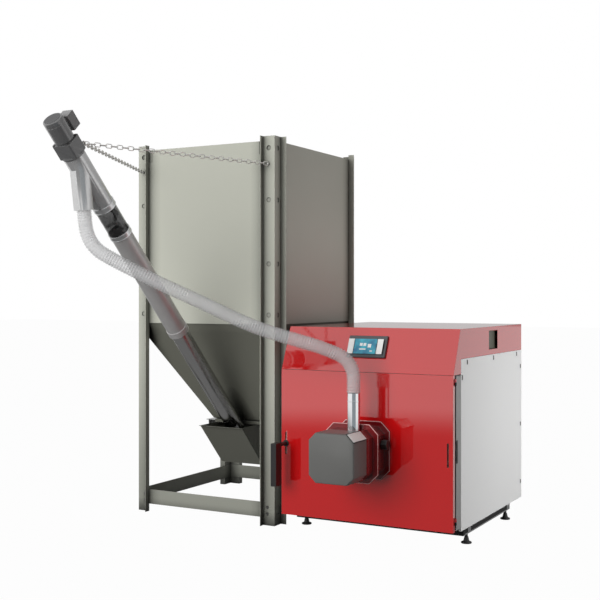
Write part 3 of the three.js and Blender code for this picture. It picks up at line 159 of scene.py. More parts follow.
class HoseSettings(PropertyGroup):
    """The ribbed feed hose."""

    diameter: length_prop("Diameter", "Over the crests of the ribs", 0.06)
    length: length_prop("Length", "Along its middle", 1.4355)
    rib_pitch: length_prop("Rib pitch", "From crest to crest", 0.0112)
    rib_depth: length_prop("Rib depth", "From crest to root", 0.003)
    wall: length_prop("Wall", "Under a crest", 0.0042)
    colour: colour_prop("Colour", "Of the see-through plastic", (0.66, 0.66, 0.665))
    cover: share_prop("Cover", "How much one wall hides", 0.33)


class PaintSettings(PropertyGroup):
    """Colours of the painted and moulded pieces."""

    hopper: colour_prop("Hopper", "Paint of posts and walls", (0.5, 0.507, 0.44))
    # The funnel and trough colour is the hopper's paint darkened: painted shade for faces turned
    # down, away from the light
    funnel: colour_prop("Funnel", "Paint of the funnel and trough", (0.14, 0.141, 0.117))
    red: colour_prop("Red", "Gloss coat of door and hood", (0.53, 0.006, 0.007))
    casing: colour_prop("Casing", "Coat of the side panels", (0.94, 0.94, 0.935))
    cast: colour_prop("Cast", "Paint of motor and gear housing", (0.065, 0.065, 0.066))
    cover: colour_prop("Burner cover", "Dark plastic", (0.13, 0.13, 0.125))
    black: colour_prop("Black", "Handle, knob and feet", (0.02, 0.02, 0.02))


class SheetSettings(PropertyGroup):
    """Folded sheet and its fasteners."""

    fold_edge: length_prop("Sheet edge", "Rounding of sheet edges", 0.0006)
    casing_edge: length_prop("Casing edge", "Rounding of the casing's edges", 0.0018)
    bolt_radius: length_prop("Bolt head", "Across corners, halved", 0.00528)
    bolt_height: length_prop("Bolt height", "Height of a bolt's head", 0.004)


class FeederSettings(PropertyGroup):
    """The inclined screw feeder."""

    tube_radius: length_prop("Tube", "Outside radius of the lower tube", 0.042)
    sleeve_radius: length_prop("Sleeve", "Outside radius of the upper tube", 0.046)
    wall: length_prop("Wall", "Of the tubes", 0.002)
    screw_radius: length_prop("Screw", "Outside radius of the screw", 0.036)
    screw_pitch: length_prop("Screw pitch", "Rise of one turn", 0.08)
    link_length: length_prop("Link length", "Over the wire", 0.034)
    link_width: length_prop("Link width", "Over the wire", 0.0195)
    link_wire: length_prop("Link wire", "Radius of the chain's wire", 0.0018)
    sides: IntProperty(name="Sides", description="Faces round a tube", default=72, min=12)


# Mesh helpers. A shape is a list of points and a list of faces.

# An edge sharper than this many degrees is a hard edge, and on small round forms than that
SHARP, ROUND_SHARP = 35.0, 60.0
# Roundings of the hard edges
BOLT_EDGE, PLATE_EDGE, LUG_EDGE, HOUSING_EDGE = 0.0003, 0.0004, 0.0005, 0.0008
CASE_EDGE, BOX_EDGE, CASTING_EDGE, HANDLE_EDGE = 0.0015, 0.002, 0.0025, 0.003


def moved(shape, matrix):
    points, faces = shape
    return [matrix @ Vector(p) for p in points], faces


def merged(shapes):
    points, faces = [], []
    for some_points, some_faces in shapes:
        first = len(points)
        points += some_points
        faces += [tuple(first + i for i in face) for face in some_faces]
    return points, faces


def circle(radius, count):
    """The corners of a regular outline, as (x, y)."""
    angles = [math.tau * i / count for i in range(count)]
    return [(radius * math.cos(angle), radius * math.sin(angle)) for angle in angles]


def revolved(profile, sides, closed=True):
    """A profile of (radius, height) turned about Z. An open one starts and ends on the axis."""
    points, faces, rows = [], [], []
    for radius, height in profile:
        outline = circle(radius, sides) if radius else [(0.0, 0.0)]
        rows.append([len(points) + i % len(outline) for i in range(sides)])
        points += [Vector((x, y, height)) for x, y in outline]
    pairs = list(zip(rows, rows[1:]))
    if closed:
        pairs.append((rows[-1], rows[0]))
    for low, high in pairs:
        for i in range(sides):
            k = (i + 1) % sides
            faces.append(tuple(dict.fromkeys((low[i], low[k], high[k], high[i]))))
    return points, faces


def turned(profile, sides):
    """A solid turned about Z, from its outside alone."""
    first, last = profile[0][1], profile[-1][1]
    return revolved([(0.0, first), *profile, (0.0, last)], sides, closed=False)


def rod(radius, low, high, sides):
    """A solid cylinder along Z."""
    return turned([(radius, low), (radius, high)], sides)


def tube(inner, outer, start, end, sides, lip=0.0):
    """A straight tube along Z, its rims broken by a lip if one is given."""
    profile = [(inner, start), (outer, start), (outer, end), (inner, end)]
    if lip:
        profile = [
            (inner, start + lip), (inner + lip, start), (outer - lip, start), (outer, start + lip),
            (outer, end - lip), (outer - lip, end), (inner + lip, end), (inner, end - lip),
        ]
    return revolved(profile, sides)


def prism(outline, low, high):
    """An outline of (x, y) between two heights."""
    count = len(outline)
    points = [Vector((x, y, z)) for z in (low, high) for x, y in outline]
    faces = [tuple(reversed(range(count))), tuple(range(count, 2 * count))]
    for i in range(count):
        k = (i + 1) % count
        faces.append((i, k, count + k, count + i))
    return points, faces


def slab(x0, x1, y0, y1, z0, z1):
    return prism([(x0, y0), (x1, y0), (x1, y1), (x0, y1)], z0, z1)


def block(x0, x1, y0, y1, z0, z1):
    """A slab measured from the set-out corner."""
    x, y = SET_OUT.x, SET_OUT.y
    return slab(x + x0, x + x1, y + y0, y + y1, z0, z1)


def facing(place, direction):
    """A matrix that puts the origin at a place and Z along a direction."""
    turn = Vector(direction).to_track_quat("Z", "Y").to_matrix().to_4x4()
    return Matrix.Translation(place) @ turn


def on_axes(place, x, y, z):
    """A matrix that puts the origin at a place and the three axes along the given ones."""
    return Matrix.Translation(place) @ Matrix((x, y, z)).transposed().to_4x4()


def swept(rings, loop=False):
    """Faces between rings of equal counts, capped unless they form a loop."""
    count = len(rings[0])
    points = [Vector(p) for ring in rings for p in ring]
    faces = []
    last = len(rings) if loop else len(rings) - 1
    for i in range(last):
        a, b = i * count, ((i + 1) % len(rings)) * count
        for j in range(count):
            k = (j + 1) % count
            faces.append((a + j, a + k, b + k, b + j))
    if not loop:
        faces.append(tuple(reversed(range(count))))
        faces.append(tuple(range(last * count, (last + 1) * count)))
    return points, faces


def new_mesh(name, shape, sharp=SHARP):
    mesh = bpy.data.meshes.new(name)
    points, faces = shape
    mesh.from_pydata([tuple(p) for p in points], [], faces)
    bm = bmesh.new()
    bm.from_mesh(mesh)
    bmesh.ops.recalc_face_normals(bm, faces=bm.faces)
    bm.to_mesh(mesh)
    bm.free()
    mesh.polygons.foreach_set("use_smooth", [True] * len(mesh.polygons))
    mesh.set_sharp_from_angle(angle=math.radians(sharp))
    mesh.update()
    return mesh


def placed(name, data):
    """A new object in the scene."""
    obj = bpy.data.objects.new(name, data)
    bpy.context.scene.collection.objects.link(obj)
    return obj


def soften(obj, width):
    """Rounds the object's hard edges."""
    bevel = obj.modifiers.new("edges", "BEVEL")
    bevel.width = width
    bevel.segments = 2
    bevel.limit_method = "ANGLE"
    bevel.angle_limit = math.radians(SHARP)
    bevel.use_clamp_overlap = True
    bevel.harden_normals = True


def piece(
    name, shape, material, body="root", slot="bare_steel", edge=0.0, replaces=(), sharp=SHARP,
):
    """A new piece of the object, in place, on its body, with a finish's key or a material."""
    obj = placed(name, new_mesh(name, shape, sharp))
    obj.data.materials.append(paint(material) if isinstance(material, str) else material)
    if edge > 0.0:
        soften(obj, edge)
    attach(obj, body)
    if replaces:
        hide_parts(*replaces)
    return obj


def node_shape(node):
    """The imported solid's own faces, flat ones put back together."""
    weld, flat = 2e-6, math.radians(0.4)
    mesh = frame["nodes"][node].data
    bm = bmesh.new()
    corners = [bm.verts.new(v.co) for v in mesh.vertices]
    for polygon in mesh.polygons:
        bm.faces.new([corners[i] for i in polygon.vertices])
    bmesh.ops.remove_doubles(bm, verts=bm.verts, dist=weld)
    bmesh.ops.dissolve_limit(bm, angle_limit=flat, verts=bm.verts, edges=bm.edges)
    bm.verts.index_update()
    shape = ([v.co.copy() for v in bm.verts], [tuple(v.index for v in f.verts) for f in bm.faces])
    bm.free()
    return shape


def skins(material, slot, edge, *nodes):
    """Each node's own shape with rounded edges, standing for the node."""
    for node in nodes:
        body = frame["nodes"][node]["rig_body"]
        piece(node + "_skin", node_shape(node), material, body, slot, edge, (node,))


def cut(obj, shape, operation="DIFFERENCE"):
    """Cuts a shape from an object, or joins it on, and keeps the result as its mesh."""
    tool = placed("tool", new_mesh("tool", shape))
    change = obj.modifiers.new("cut", "BOOLEAN")
    change.operation = operation
    change.solver = "EXACT"
    change.object = tool
    graph = bpy.context.evaluated_depsgraph_get()
    obj.data = bpy.data.meshes.new_from_object(obj.evaluated_get(graph))
    obj.modifiers.remove(change)
    bpy.data.objects.remove(tool)
    obj.data.set_sharp_from_angle(angle=math.radians(SHARP))


# Shader nodes, and the groups that several finishes share

MID_GREY = (0.5, 0.5, 0.5, 1.0)
WHITE = (1.0, 1.0, 1.0, 1.0)


def feed(tree, node, inputs):
    """Sets a node's inputs, and links those that are given another node's output."""
    for label, source in inputs.items():
        if isinstance(source, bpy.types.NodeSocket):
            tree.links.new(source, node.inputs[label])
        else:
            node.inputs[label].default_value = source


def new_node(tree, kind, inputs=None, **values):
    node = tree.nodes.new("ShaderNode" + kind)
    for key, value in values.items():
        setattr(node, key, value)
    feed(tree, node, inputs or {})
    return node


def sum_node(tree, operation, *terms, kind="Math"):
    """The first output of a sum on the given values or outputs."""
    return new_node(tree, kind, dict(enumerate(terms)), operation=operation).outputs[0]


def scaled(tree, colour, factor):
    inputs = {0: colour, "Scale": factor}
    return new_node(tree, "VectorMath", inputs, operation="SCALE").outputs[0]


def object_place(tree):
    return new_node(tree, "TexCoord").outputs["Object"]


def eased(tree, value, reach, low, high):
    """A value that goes from low to high over a range of another."""
    return new_node(tree, "MapRange", {
        "Value": value, "From Min": reach[0], "From Max": reach[1], "To Min": low, "To Max": high,
    }, interpolation_type="SMOOTHSTEP").outputs["Result"]


def varied(tree, noise, amount, middle):
    """A noise from 0 to 1, made to vary by an amount about a middle."""
    centred = sum_node(tree, "SUBTRACT", noise, 0.5)
    return sum_node(tree, "MULTIPLY_ADD", centred, amount, middle)


def new_group(name, inputs, outputs):
    tree = bpy.data.node_groups.new(name, "ShaderNodeTree")
    for label, kind, value in inputs:
        socket = tree.interface.new_socket(
            label, in_out="INPUT", socket_type="NodeSocket" + kind,
        )
        socket.default_value = value
    for label, kind in outputs:
        tree.interface.new_socket(label, in_out="OUTPUT", socket_type="NodeSocket" + kind)
    return tree, tree.nodes.new("NodeGroupInput").outputs, tree.nodes.new("NodeGroupOutput")


def mottle_group():
    """Slow variation of a colour over the surface."""
    tree, entry, leave = new_group(
        "Mottle",
        [("Colour", "Color", MID_GREY), ("Amount", "Float", 0.05), ("Scale", "Float", 6.0)],
        [("Colour", "Color")],
    )
    noise = new_node(tree, "TexNoise", {
        "Vector": object_place(tree), "Scale": entry["Scale"], "Detail": 4.0,
    })
    factor = varied(tree, noise.outputs["Fac"], entry["Amount"], 1.0)
    feed(tree, leave, {"Colour": scaled(tree, entry["Colour"], factor)})
    return tree


def grain_group():
    """Fine coat texture: a height for bump and a roughness that varies with it."""
    tree, entry, leave = new_group(
        "Grain",
        [("Scale", "Float", 900.0), ("Roughness", "Float", 0.4), ("Spread", "Float", 0.08)],
        [("Height", "Float"), ("Roughness", "Float")],
    )
    place = object_place(tree)
    fine = new_node(tree, "TexNoise", {"Vector": place, "Scale": entry["Scale"], "Detail": 2.0})
    broad = new_node(tree, "TexNoise", {"Vector": place, "Scale": 11.0, "Detail": 5.0})
    feed(tree, leave, {
        "Height": fine.outputs["Fac"],
        "Roughness": varied(tree, broad.outputs["Fac"], entry["Spread"], entry["Roughness"]),
    })
    return tree


def drawn_group():
    """Long fine scratches, for rolled and drawn steel."""
    tree, entry, leave = new_group(
        "Drawn steel",
        [("Scale", "Vector", (220.0, 220.0, 5.0)), ("Roughness", "Float", 0.25),
         ("Spread", "Float", 0.2)],
        [("Height", "Float"), ("Roughness", "Float")],
    )
    place = sum_node(tree, "MULTIPLY", object_place(tree), entry["Scale"], kind="VectorMath")
    noise = new_node(tree, "TexNoise", {"Vector": place, "Scale": 1.0, "Detail": 3.0})
    feed(tree, leave, {
        "Height": noise.outputs["Fac"],
        "Roughness": varied(tree, noise.outputs["Fac"], entry["Spread"], entry["Roughness"]),
    })
    return tree


def edge_wear_and_highlight_group():
    """Mixes a second colour onto the hard edges: part wear, part painted highlight where edges
    catch the light.
    """
    tree, entry, leave = new_group(
        "Worn edges",
        [("Colour", "Color", MID_GREY), ("Edge colour", "Color", (0.8, 0.8, 0.8, 1.0)),
         ("Reach", "Float", 0.002), ("Amount", "Float", 0.5)],
        [("Colour", "Color")],
    )
    rounded = new_node(tree, "Bevel", {"Radius": entry["Reach"]}, samples=6)
    flat = new_node(tree, "NewGeometry")
    alike = new_node(
        tree, "VectorMath", {0: rounded.outputs["Normal"], 1: flat.outputs["Normal"]},
        operation="DOT_PRODUCT",
    )
    worn = new_node(tree, "MapRange", {
        "Value": alike.outputs["Value"], "From Min": 0.998, "From Max": 0.9,
    })
    mix = new_node(tree, "Mix", {
        "Factor": sum_node(tree, "MULTIPLY", worn.outputs["Result"], entry["Amount"]),
        "A": entry["Colour"], "B": entry["Edge colour"],
    }, data_type="RGBA")
    feed(tree, leave, {"Colour": mix.outputs["Result"]})
    return tree


def occlusion_shade_group():
    """Painted shade: darkens a colour in folds, corners and recesses, where shade falls."""
    tree, entry, leave = new_group(
        "Creases",
        [("Colour", "Color", MID_GREY), ("Reach", "Float", 0.07), ("Strength", "Float", 2.0)],
        [("Colour", "Color")],
    )
    hollow = new_node(tree, "AmbientOcclusion", {"Distance": entry["Reach"]}, samples=8)
    factor = sum_node(tree, "POWER", hollow.outputs["AO"], entry["Strength"])
    feed(tree, leave, {"Colour": scaled(tree, entry["Colour"], factor)})
    return tree


GROUP_MAKERS = {
    "mottle": mottle_group, "grain": grain_group, "drawn": drawn_group, "edges": edge_wear_and_highlight_group,
    "corner_shade": occlusion_shade_group,
}
GROUPS = {}


def placed_group(tree, kind, inputs):
    """The outputs of a node that uses one of the shared groups, made on first use."""
    if kind not in GROUPS:
        GROUPS[kind] = GROUP_MAKERS[kind]()
    return new_node(tree, "Group", inputs, node_tree=GROUPS[kind]).outputs


def rgba(colour):
    return (*colour[:3], 1.0)


def grey(tone):
    return (tone, tone, tone)


def new_material(name):
    material = bpy.data.materials.new(name)
    material.use_nodes = True
    return material, material.node_tree, material.node_tree.nodes["Principled BSDF"]


# The height over which the painted shade at the foot of a tall piece fades out
FOOT_SHADE_REACH = 0.9


def finish(
    name, colour, roughness, mottle=(0.05, 5.0), grain=(700.0, 3e-5), spread=0.08, metallic=0.0,
    edge=None, coat=(0.0, 0.04, 1.5), specular=0.5, corner_shade=0.0, low=1.0,
):
    """A finish with uneven colour and roughness, fine bump and, if asked, edges lightened by wear
    and painted highlight, and painted shade.

    mottle is an amount and a scale, and grain a scale, which has three numbers on drawn metal,
    and a depth. edge is a colour, a reach and an amount, coat a weight, a roughness and an IOR.
    Painted shade: the strength given for corners sets how strongly they darken, and low is the
    brightness at the foot of a tall piece.
    """
    if name in bpy.data.materials:
        return bpy.data.materials[name]
    material, tree, shader = new_material(name)
    shade = placed_group(tree, "mottle", {
        "Colour": rgba(colour), "Amount": 2.0 * mottle[0], "Scale": mottle[1],
    })["Colour"]
    # Lighter edges: part wear, part painted highlight
    if edge:
        shade = placed_group(tree, "edges", {
            "Colour": shade, "Edge colour": rgba(edge[0]), "Reach": edge[1], "Amount": edge[2],
        })["Colour"]
    # Painted shade in corners and recesses, by ambient occlusion
    if corner_shade > 0.0:
        shade = placed_group(tree, "corner_shade", {"Colour": shade, "Strength": corner_shade})["Colour"]
    # Painted shade: darker towards the floor, from low at the foot to full colour at the fade
    # height
    if low < 1.0:
        axes = new_node(tree, "SeparateXYZ", {"Vector": object_place(tree)})
        foot_shade = eased(tree, axes.outputs["Z"], (0.0, FOOT_SHADE_REACH), low, 1.0)
        shade = scaled(tree, shade, foot_shade)
    fine = placed_group(tree, "drawn" if isinstance(grain[0], tuple) else "grain", {
        "Scale": grain[0], "Roughness": roughness, "Spread": 2.0 * spread,
    })
    bump = new_node(tree, "Bump", {
        "Strength": 1.0, "Distance": grain[1], "Height": fine["Height"],
    })
    feed(tree, shader, {
        "Base Color": shade, "Roughness": fine["Roughness"], "Normal": bump.outputs["Normal"],
        "Metallic": metallic, "Specular IOR Level": specular,
        "Coat Weight": coat[0], "Coat Roughness": coat[1], "Coat IOR": coat[2],
    })
    return material


# By key: the material's name, its colour or the paint setting that holds it, its roughness,
# and what else departs from the defaults of finish
# In each finish, the edge colour is part wear and part painted highlight.
FINISHES = {
    # Hopper: painted shade in its corners and towards its foot; edges lighter for wear and as
    # painted highlight
    "hopper": ("hopper paint", "hopper", 0.45, dict(
        mottle=(0.025, 2.2), grain=(900.0, 2e-5), edge=((0.62, 0.62, 0.58), 0.0012, 0.35),
        corner_shade=2.2, low=0.58)),
    # Funnel and trough: painted shade in their colour and in their corners; edges lighter for wear
    # and as painted highlight
    "funnel": ("funnel paint", "funnel", 0.45, dict(
        mottle=(0.06, 3.0), grain=(900.0, 2e-5), edge=((0.34, 0.34, 0.30), 0.0014, 0.6),
        specular=0.3, corner_shade=2.2)),
    "red": ("red gloss coat", "red", 0.34, dict(
        mottle=(0.02, 2.0), grain=(420.0, 1.2e-5), edge=((0.75, 0.33, 0.31), 0.0011, 0.4),
        coat=(1.0, 0.03, 2.0), specular=0.0)),
    "burner red": ("burner gloss coat", (0.17, 0.005, 0.007), 0.32, dict(
        mottle=(0.03, 9.0), grain=(500.0, 1.2e-5), coat=(1.0, 0.16, 1.7), specular=0.0)),
    "casing": ("casing powder coat", "casing", 0.55, dict(
        mottle=(0.012, 1.6), grain=(1500.0, 3e-5), edge=(grey(0.92), 0.0012, 0.4),
        specular=0.3)),
    "cast": ("cast paint", "cast", 0.42, dict(
        mottle=(0.06, 14.0), grain=(800.0, 6e-5), edge=(grey(0.22), 0.002, 0.5),
        coat=(1.0, 0.12, 1.8))),
    "lid": ("lid plastic", (0.05, 0.05, 0.052), 0.4, dict(
        mottle=(0.04, 16.0), grain=(900.0, 3e-5), edge=(grey(0.16), 0.0015, 0.5))),
    "box": ("terminal box plastic", grey(0.24), 0.4, dict(
        mottle=(0.04, 16.0), grain=(900.0, 4e-5), edge=(grey(0.36), 0.0015, 0.4))),
    "cover": ("cover plastic", "cover", 0.4, dict(
        mottle=(0.03, 8.0), grain=(1200.0, 2e-5), edge=((0.24, 0.25, 0.23), 0.0022, 0.5),
        coat=(0.35, 0.25, 1.5), specular=0.1)),
    # Painted highlight: a pale plate where the cover's facet catches the light
    "bright cover": ("cover facet", (0.82, 0.84, 0.82), 0.4, dict(
        mottle=(0.03, 10.0), grain=(1200.0, 3e-5), specular=0.2)),
    # Painted highlight: pale pink where sheet edges catch the light
    "rim": ("worn rim", (0.72, 0.42, 0.41), 0.4, dict(
        mottle=(0.06, 30.0), grain=(900.0, 1e-5))),
    "black": ("black plastic", "black", 0.4, dict(
        mottle=(0.1, 20.0), grain=(1100.0, 4e-5), edge=(grey(0.09), 0.0015, 0.5))),
    "base": ("base paint", grey(0.006), 0.35, dict(
        mottle=(0.15, 12.0), grain=(800.0, 5e-5), edge=(grey(0.10), 0.0015, 0.6),
        specular=0.25)),
    "steel": ("drawn steel", (0.60, 0.595, 0.59), 0.24, dict(
        metallic=1.0, mottle=(0.05, 9.0), grain=((260.0, 90.0, 90.0), 1e-5), spread=0.06)),
    "zinc": ("zinc coat", (0.66, 0.665, 0.67), 0.3, dict(
        metallic=1.0, mottle=(0.1, 45.0), grain=(160.0, 1e-5), spread=0.1)),
    "galvanised": ("galvanised steel", (0.50, 0.49, 0.485), 0.36, dict(
        metallic=0.45, mottle=(0.08, 30.0), grain=((160.0, 160.0, 6.0), 1e-5), specular=0.8)),
    "head": ("rolled bright steel", grey(0.56), 0.2, dict(
        metallic=0.75, mottle=(0.08, 30.0), grain=((200.0, 200.0, 4.0), 1e-5))),
    "chrome": ("polished pipe", (0.80, 0.81, 0.82), 0.08, dict(
        metallic=1.0, mottle=(0.02, 20.0), grain=((240.0, 240.0, 8.0), 4e-6), spread=0.03)),
    "chain": ("chain steel", (0.62, 0.61, 0.59), 0.3, dict(
        metallic=1.0, mottle=(0.12, 60.0), grain=(700.0, 2e-5), spread=0.1)),
    "dark steel": ("dark steel", (0.24, 0.235, 0.23), 0.38, dict(
        metallic=1.0, mottle=(0.1, 25.0), grain=(500.0, 2e-5), spread=0.1)),
    "jacket": ("jacket sheet", (0.33, 0.33, 0.325), 0.5, dict(
        mottle=(0.03, 6.0), grain=(900.0, 3e-5))),
    "olive": ("port plate paint", (0.10, 0.10, 0.075), 0.5, dict(
        mottle=(0.06, 14.0), grain=(900.0, 2e-5))),
    "board": ("mineral board", (0.66, 0.60, 0.50), 0.9, dict(
        mottle=(0.1, 18.0), grain=(420.0, 3e-4), spread=0.03)),
    "bezel": ("controller case", (0.075, 0.08, 0.085), 0.35, dict(
        mottle=(0.04, 20.0), grain=(1200.0, 2e-5), edge=(grey(0.2), 0.0015, 0.4))),
    "strip": ("controller strip", (0.80, 0.80, 0.79), 0.3, dict(
        mottle=(0.01, 20.0), grain=(900.0, 1e-5))),
    # Painted shade: black put where slots and gaps show only shadow
    "shade fill": ("shadow gap", grey(0.006), 0.8, dict(
        mottle=(0.2, 30.0), grain=(500.0, 5e-5))),
}


def paint(key):
    """The material of a finish, made on first use."""
    name, colour, roughness, values = FINISHES[key]
    if isinstance(colour, str):
        colour = getattr(bpy.context.scene.boiler_paint, colour)
    return finish(name, colour, roughness, **values)


def clear_plastic(name, colour, cover, roughness):
    """See-through plastic: a thin wall that hides part of what is behind it."""
    material = finish(
        name, colour, roughness, mottle=(0.04, 12.0), grain=(120.0, 2e-5), spread=0.05,
        coat=(0.4, 0.08, 1.5),
    )
    tree = material.node_tree
    least, most = 0.7 * cover, 1.3 * cover
    noise = new_node(tree, "TexNoise", {"Vector": object_place(tree), "Scale": 14.0})
    hidden = new_node(tree, "MapRange", {
        "Value": noise.outputs["Fac"], "To Min": least, "To Max": most,
    })
    feed(tree, tree.nodes["Principled BSDF"], {"Alpha": hidden.outputs["Result"]})
    return material


def screen_material():
    """The lit screen: a soft blue field with brighter patches."""
    material, tree, shader = new_material("controller screen")
    noise = new_node(tree, "TexNoise", {"Vector": object_place(tree), "Scale": 26.0})
    ramp = new_node(tree, "ValToRGB", {"Fac": noise.outputs["Fac"]})
    for stop, position, colour in zip(
        ramp.color_ramp.elements, (0.34, 0.66), ((0.02, 0.12, 0.22), (0.05, 0.34, 0.42)),
    ):
        stop.position = position
        stop.color = rgba(colour)
    lit = ramp.outputs["Color"]
    feed(tree, shader, {
        "Base Color": lit, "Emission Color": lit, "Roughness": 0.12, "Emission Strength": 0.25,
    })
    return material


# The stage

LAMPS = (
    # Name, place, what it is aimed at, size
    ("key", (-0.8, -5.4, 2.0), (0.0, 0.0, 0.8), 4.2),
    ("fill", (2.7, 1.1, 0.5), (0.9, 0.4, 0.5), 1.4),
    ("top", (0.2, 0.2, 4.6), (0.0, 0.0, 0.8), 3.0),
)
CARDS = (
    # Name, place and what it faces, both from the set-out corner, width, height
    ("card_right", (1.34, -1.66, 0.62), INLET_AXIS, 2.1, 1.2),
    ("card_left", (-0.2, -2.1, 1.45), (-0.366, -0.9), 0.16, 0.9),
)
CARD_THICKNESS = 0.01
CARD_PAINT, CARD_GLOW = (0.02, 0.021, 0.024), (0.27, 0.30, 0.32)
# The part of the sky's Y and of the floor's reach over which the tone in reflections changes
SKY_RANGE = (0.1, 0.7)
FLOOR_RANGE = (3.2, 5.4)


def mixed_by_ray(tree, output, matt, seen, tone, most=1.0):
    """Shows one shader in matt light, and another to the camera, through glass and in reflections.

    The second is only as bright as the tone in reflections, and takes up the given share.
    """
    rays = new_node(tree, "LightPath").outputs
    first = sum_node(tree, "MAXIMUM", rays["Is Camera Ray"], rays["Is Glossy Ray"])
    direct = sum_node(tree, "MAXIMUM", first, rays["Is Transmission Ray"])
    strength = new_node(tree, "Mix", {
        "Factor": rays["Is Glossy Ray"], "A": 1.0, "B": tone,
    }, data_type="FLOAT").outputs["Result"]
    feed(tree, seen, {"Color": WHITE, "Strength": strength})
    mix = new_node(tree, "MixShader", {
        "Fac": sum_node(tree, "MULTIPLY", direct, most), 1: matt.outputs[0], 2: seen.outputs[0],
    })
    feed(tree, tree.nodes[output], {"Surface": mix.outputs[0]})


def make_world(settings):
    """White where seen, darker behind the object in reflections, and dim for matt surfaces."""
    world = bpy.data.worlds.new("studio")
    bpy.context.scene.world = world
    world.use_nodes = True
    tree = world.node_tree
    sky = tree.nodes["Background"]
    feed(tree, sky, {"Color": WHITE, "Strength": settings.ambient})
    direction = new_node(tree, "TexCoord").outputs["Generated"]
    axes = new_node(tree, "SeparateXYZ", {"Vector": direction})
    tone = eased(tree, axes.outputs["Y"], SKY_RANGE, 1.0, settings.back_tone)
    mixed_by_ray(tree, "World Output", sky, new_node(tree, "Background"), tone)


def floor_material(settings):
    """Near white where seen, and darker by the boiler in reflections."""
    material, tree, shader = new_material("studio floor")
    feed(tree, shader, {
        "Base Color": rgba(settings.floor_colour), "Roughness": 0.9, "Specular IOR Level": 0.1,
    })
    reach = new_node(tree, "VectorMath", {0: object_place(tree)}, operation="LENGTH")
    tone = eased(tree, reach.outputs["Value"], FLOOR_RANGE, settings.near_tone, 1.0)
    mixed_by_ray(tree, "Material Output", shader, new_node(tree, "Emission"), tone, most=0.98)
    return material


def make_card(name, place, towards, width, height):
    """A grey upright card that only polished metal and gloss coats show."""
    x, y, z = width / 2.0, height / 2.0, CARD_THICKNESS / 2.0
    obj = placed(name, new_mesh(name, slab(-x, x, -y, y, -z, z)))
    obj.matrix_world = facing(spot(*place), spot(*towards, place[2]) - spot(*place))
    material, tree, shader = new_material(name)
    feed(tree, shader, {
        "Base Color": rgba(CARD_PAINT), "Roughness": 1.0, "Specular IOR Level": 0.0,
        "Emission Color": rgba(CARD_GLOW), "Emission Strength": 1.0,
    })
    obj.data.materials.append(material)
    for ray in ("camera", "diffuse", "transmission", "shadow"):
        setattr(obj, "visible_" + ray, False)


def make_lamp(name, place, target, size, power):
    """A round lamp that neither the camera nor a reflection shows."""
    lamp = bpy.data.lights.new(name, "AREA")
    lamp.shape = "DISK"
    lamp.size = size
    lamp.energy = power
    obj = placed(name, lamp)
    obj.matrix_world = facing(place, Vector(place) - Vector(target))
    obj.visible_camera = False
    obj.visible_glossy = False


class BOILER_OT_stage(Operator):
    """Makes the camera, the floor, the sky, the cards and the lamps"""

    bl_idname = "boiler.stage"
    bl_label = "Stage"

    def execute(self, context):
        settings = context.scene.boiler_stage
        context.scene.view_settings.view_transform = "Standard"
        data = bpy.data.cameras.new("camera")
        data.lens = settings.lens
        data.sensor_width = 36.0
        data.shift_y = settings.shift
        camera = placed("camera", data)
        camera.location = spot(*settings.place)
        camera.rotation_euler = (math.pi / 2.0, 0.0, settings.heading)
        context.scene.camera = camera

        half = settings.floor_size / 2.0
        mesh = bpy.data.meshes.new("floor")
        corners = [(-half, -half, 0.0), (half, -half, 0.0), (half, half, 0.0), (-half, half, 0.0)]
        mesh.from_pydata(corners, [], [(0, 1, 2, 3)])
        mesh.materials.append(floor_material(settings))
        placed("floor", mesh)

        make_world(settings)
        for card in CARDS:
            make_card(*card)
        for lamp in LAMPS:
            make_lamp(*lamp, getattr(settings, lamp[0] + "_power"))
        return {"FINISHED"}


# The feed hose

HOSE_ROUTE = [
    (-0.366, -0.8945, 1.4058), (-0.366, -0.8899, 1.3752), (-0.366, -0.8853, 1.3445),
    (-0.3626, -0.8815, 1.3189), (-0.3556, -0.876, 1.2942), (-0.3446, -0.8696, 1.2715),
    (-0.331, -0.8596, 1.2515), (-0.3183, -0.8503, 1.2378), (-0.2693, -0.8143, 1.2025),
    (-0.2144, -0.7741, 1.167), (-0.1725, -0.7433, 1.1405), (-0.1266, -0.7096, 1.112),
    (-0.0615, -0.6619, 1.0745), (0.0039, -0.6139, 1.037), (0.0696, -0.5657, 0.998),
    (0.1356, -0.5172, 0.96), (0.2024, -0.4682, 0.926), (0.2483, -0.4345, 0.907),
    (0.2935, -0.4014, 0.8895), (0.3354, -0.3706, 0.8745), (0.3757, -0.3411, 0.8595),
    (0.412, -0.3144, 0.8445), (0.4442, -0.2908, 0.829), (0.4732, -0.2695, 0.8123),
    (0.4916, -0.256, 0.7948), (0.5057, -0.2457, 0.772), (0.5145, -0.2392, 0.7455),
    (0.5175, -0.237, 0.717), (0.5175, -0.237, 0.687), (0.5175, -0.237, 0.657),
]
# Points round the hose, steps from one point of its route to the next, and rings to one rib
HOSE_SIDES, HOSE_STEPS, HOSE_RINGS = 28, 16, 6
# Over 1, crests are wider than roots
HOSE_CREST = 1.6


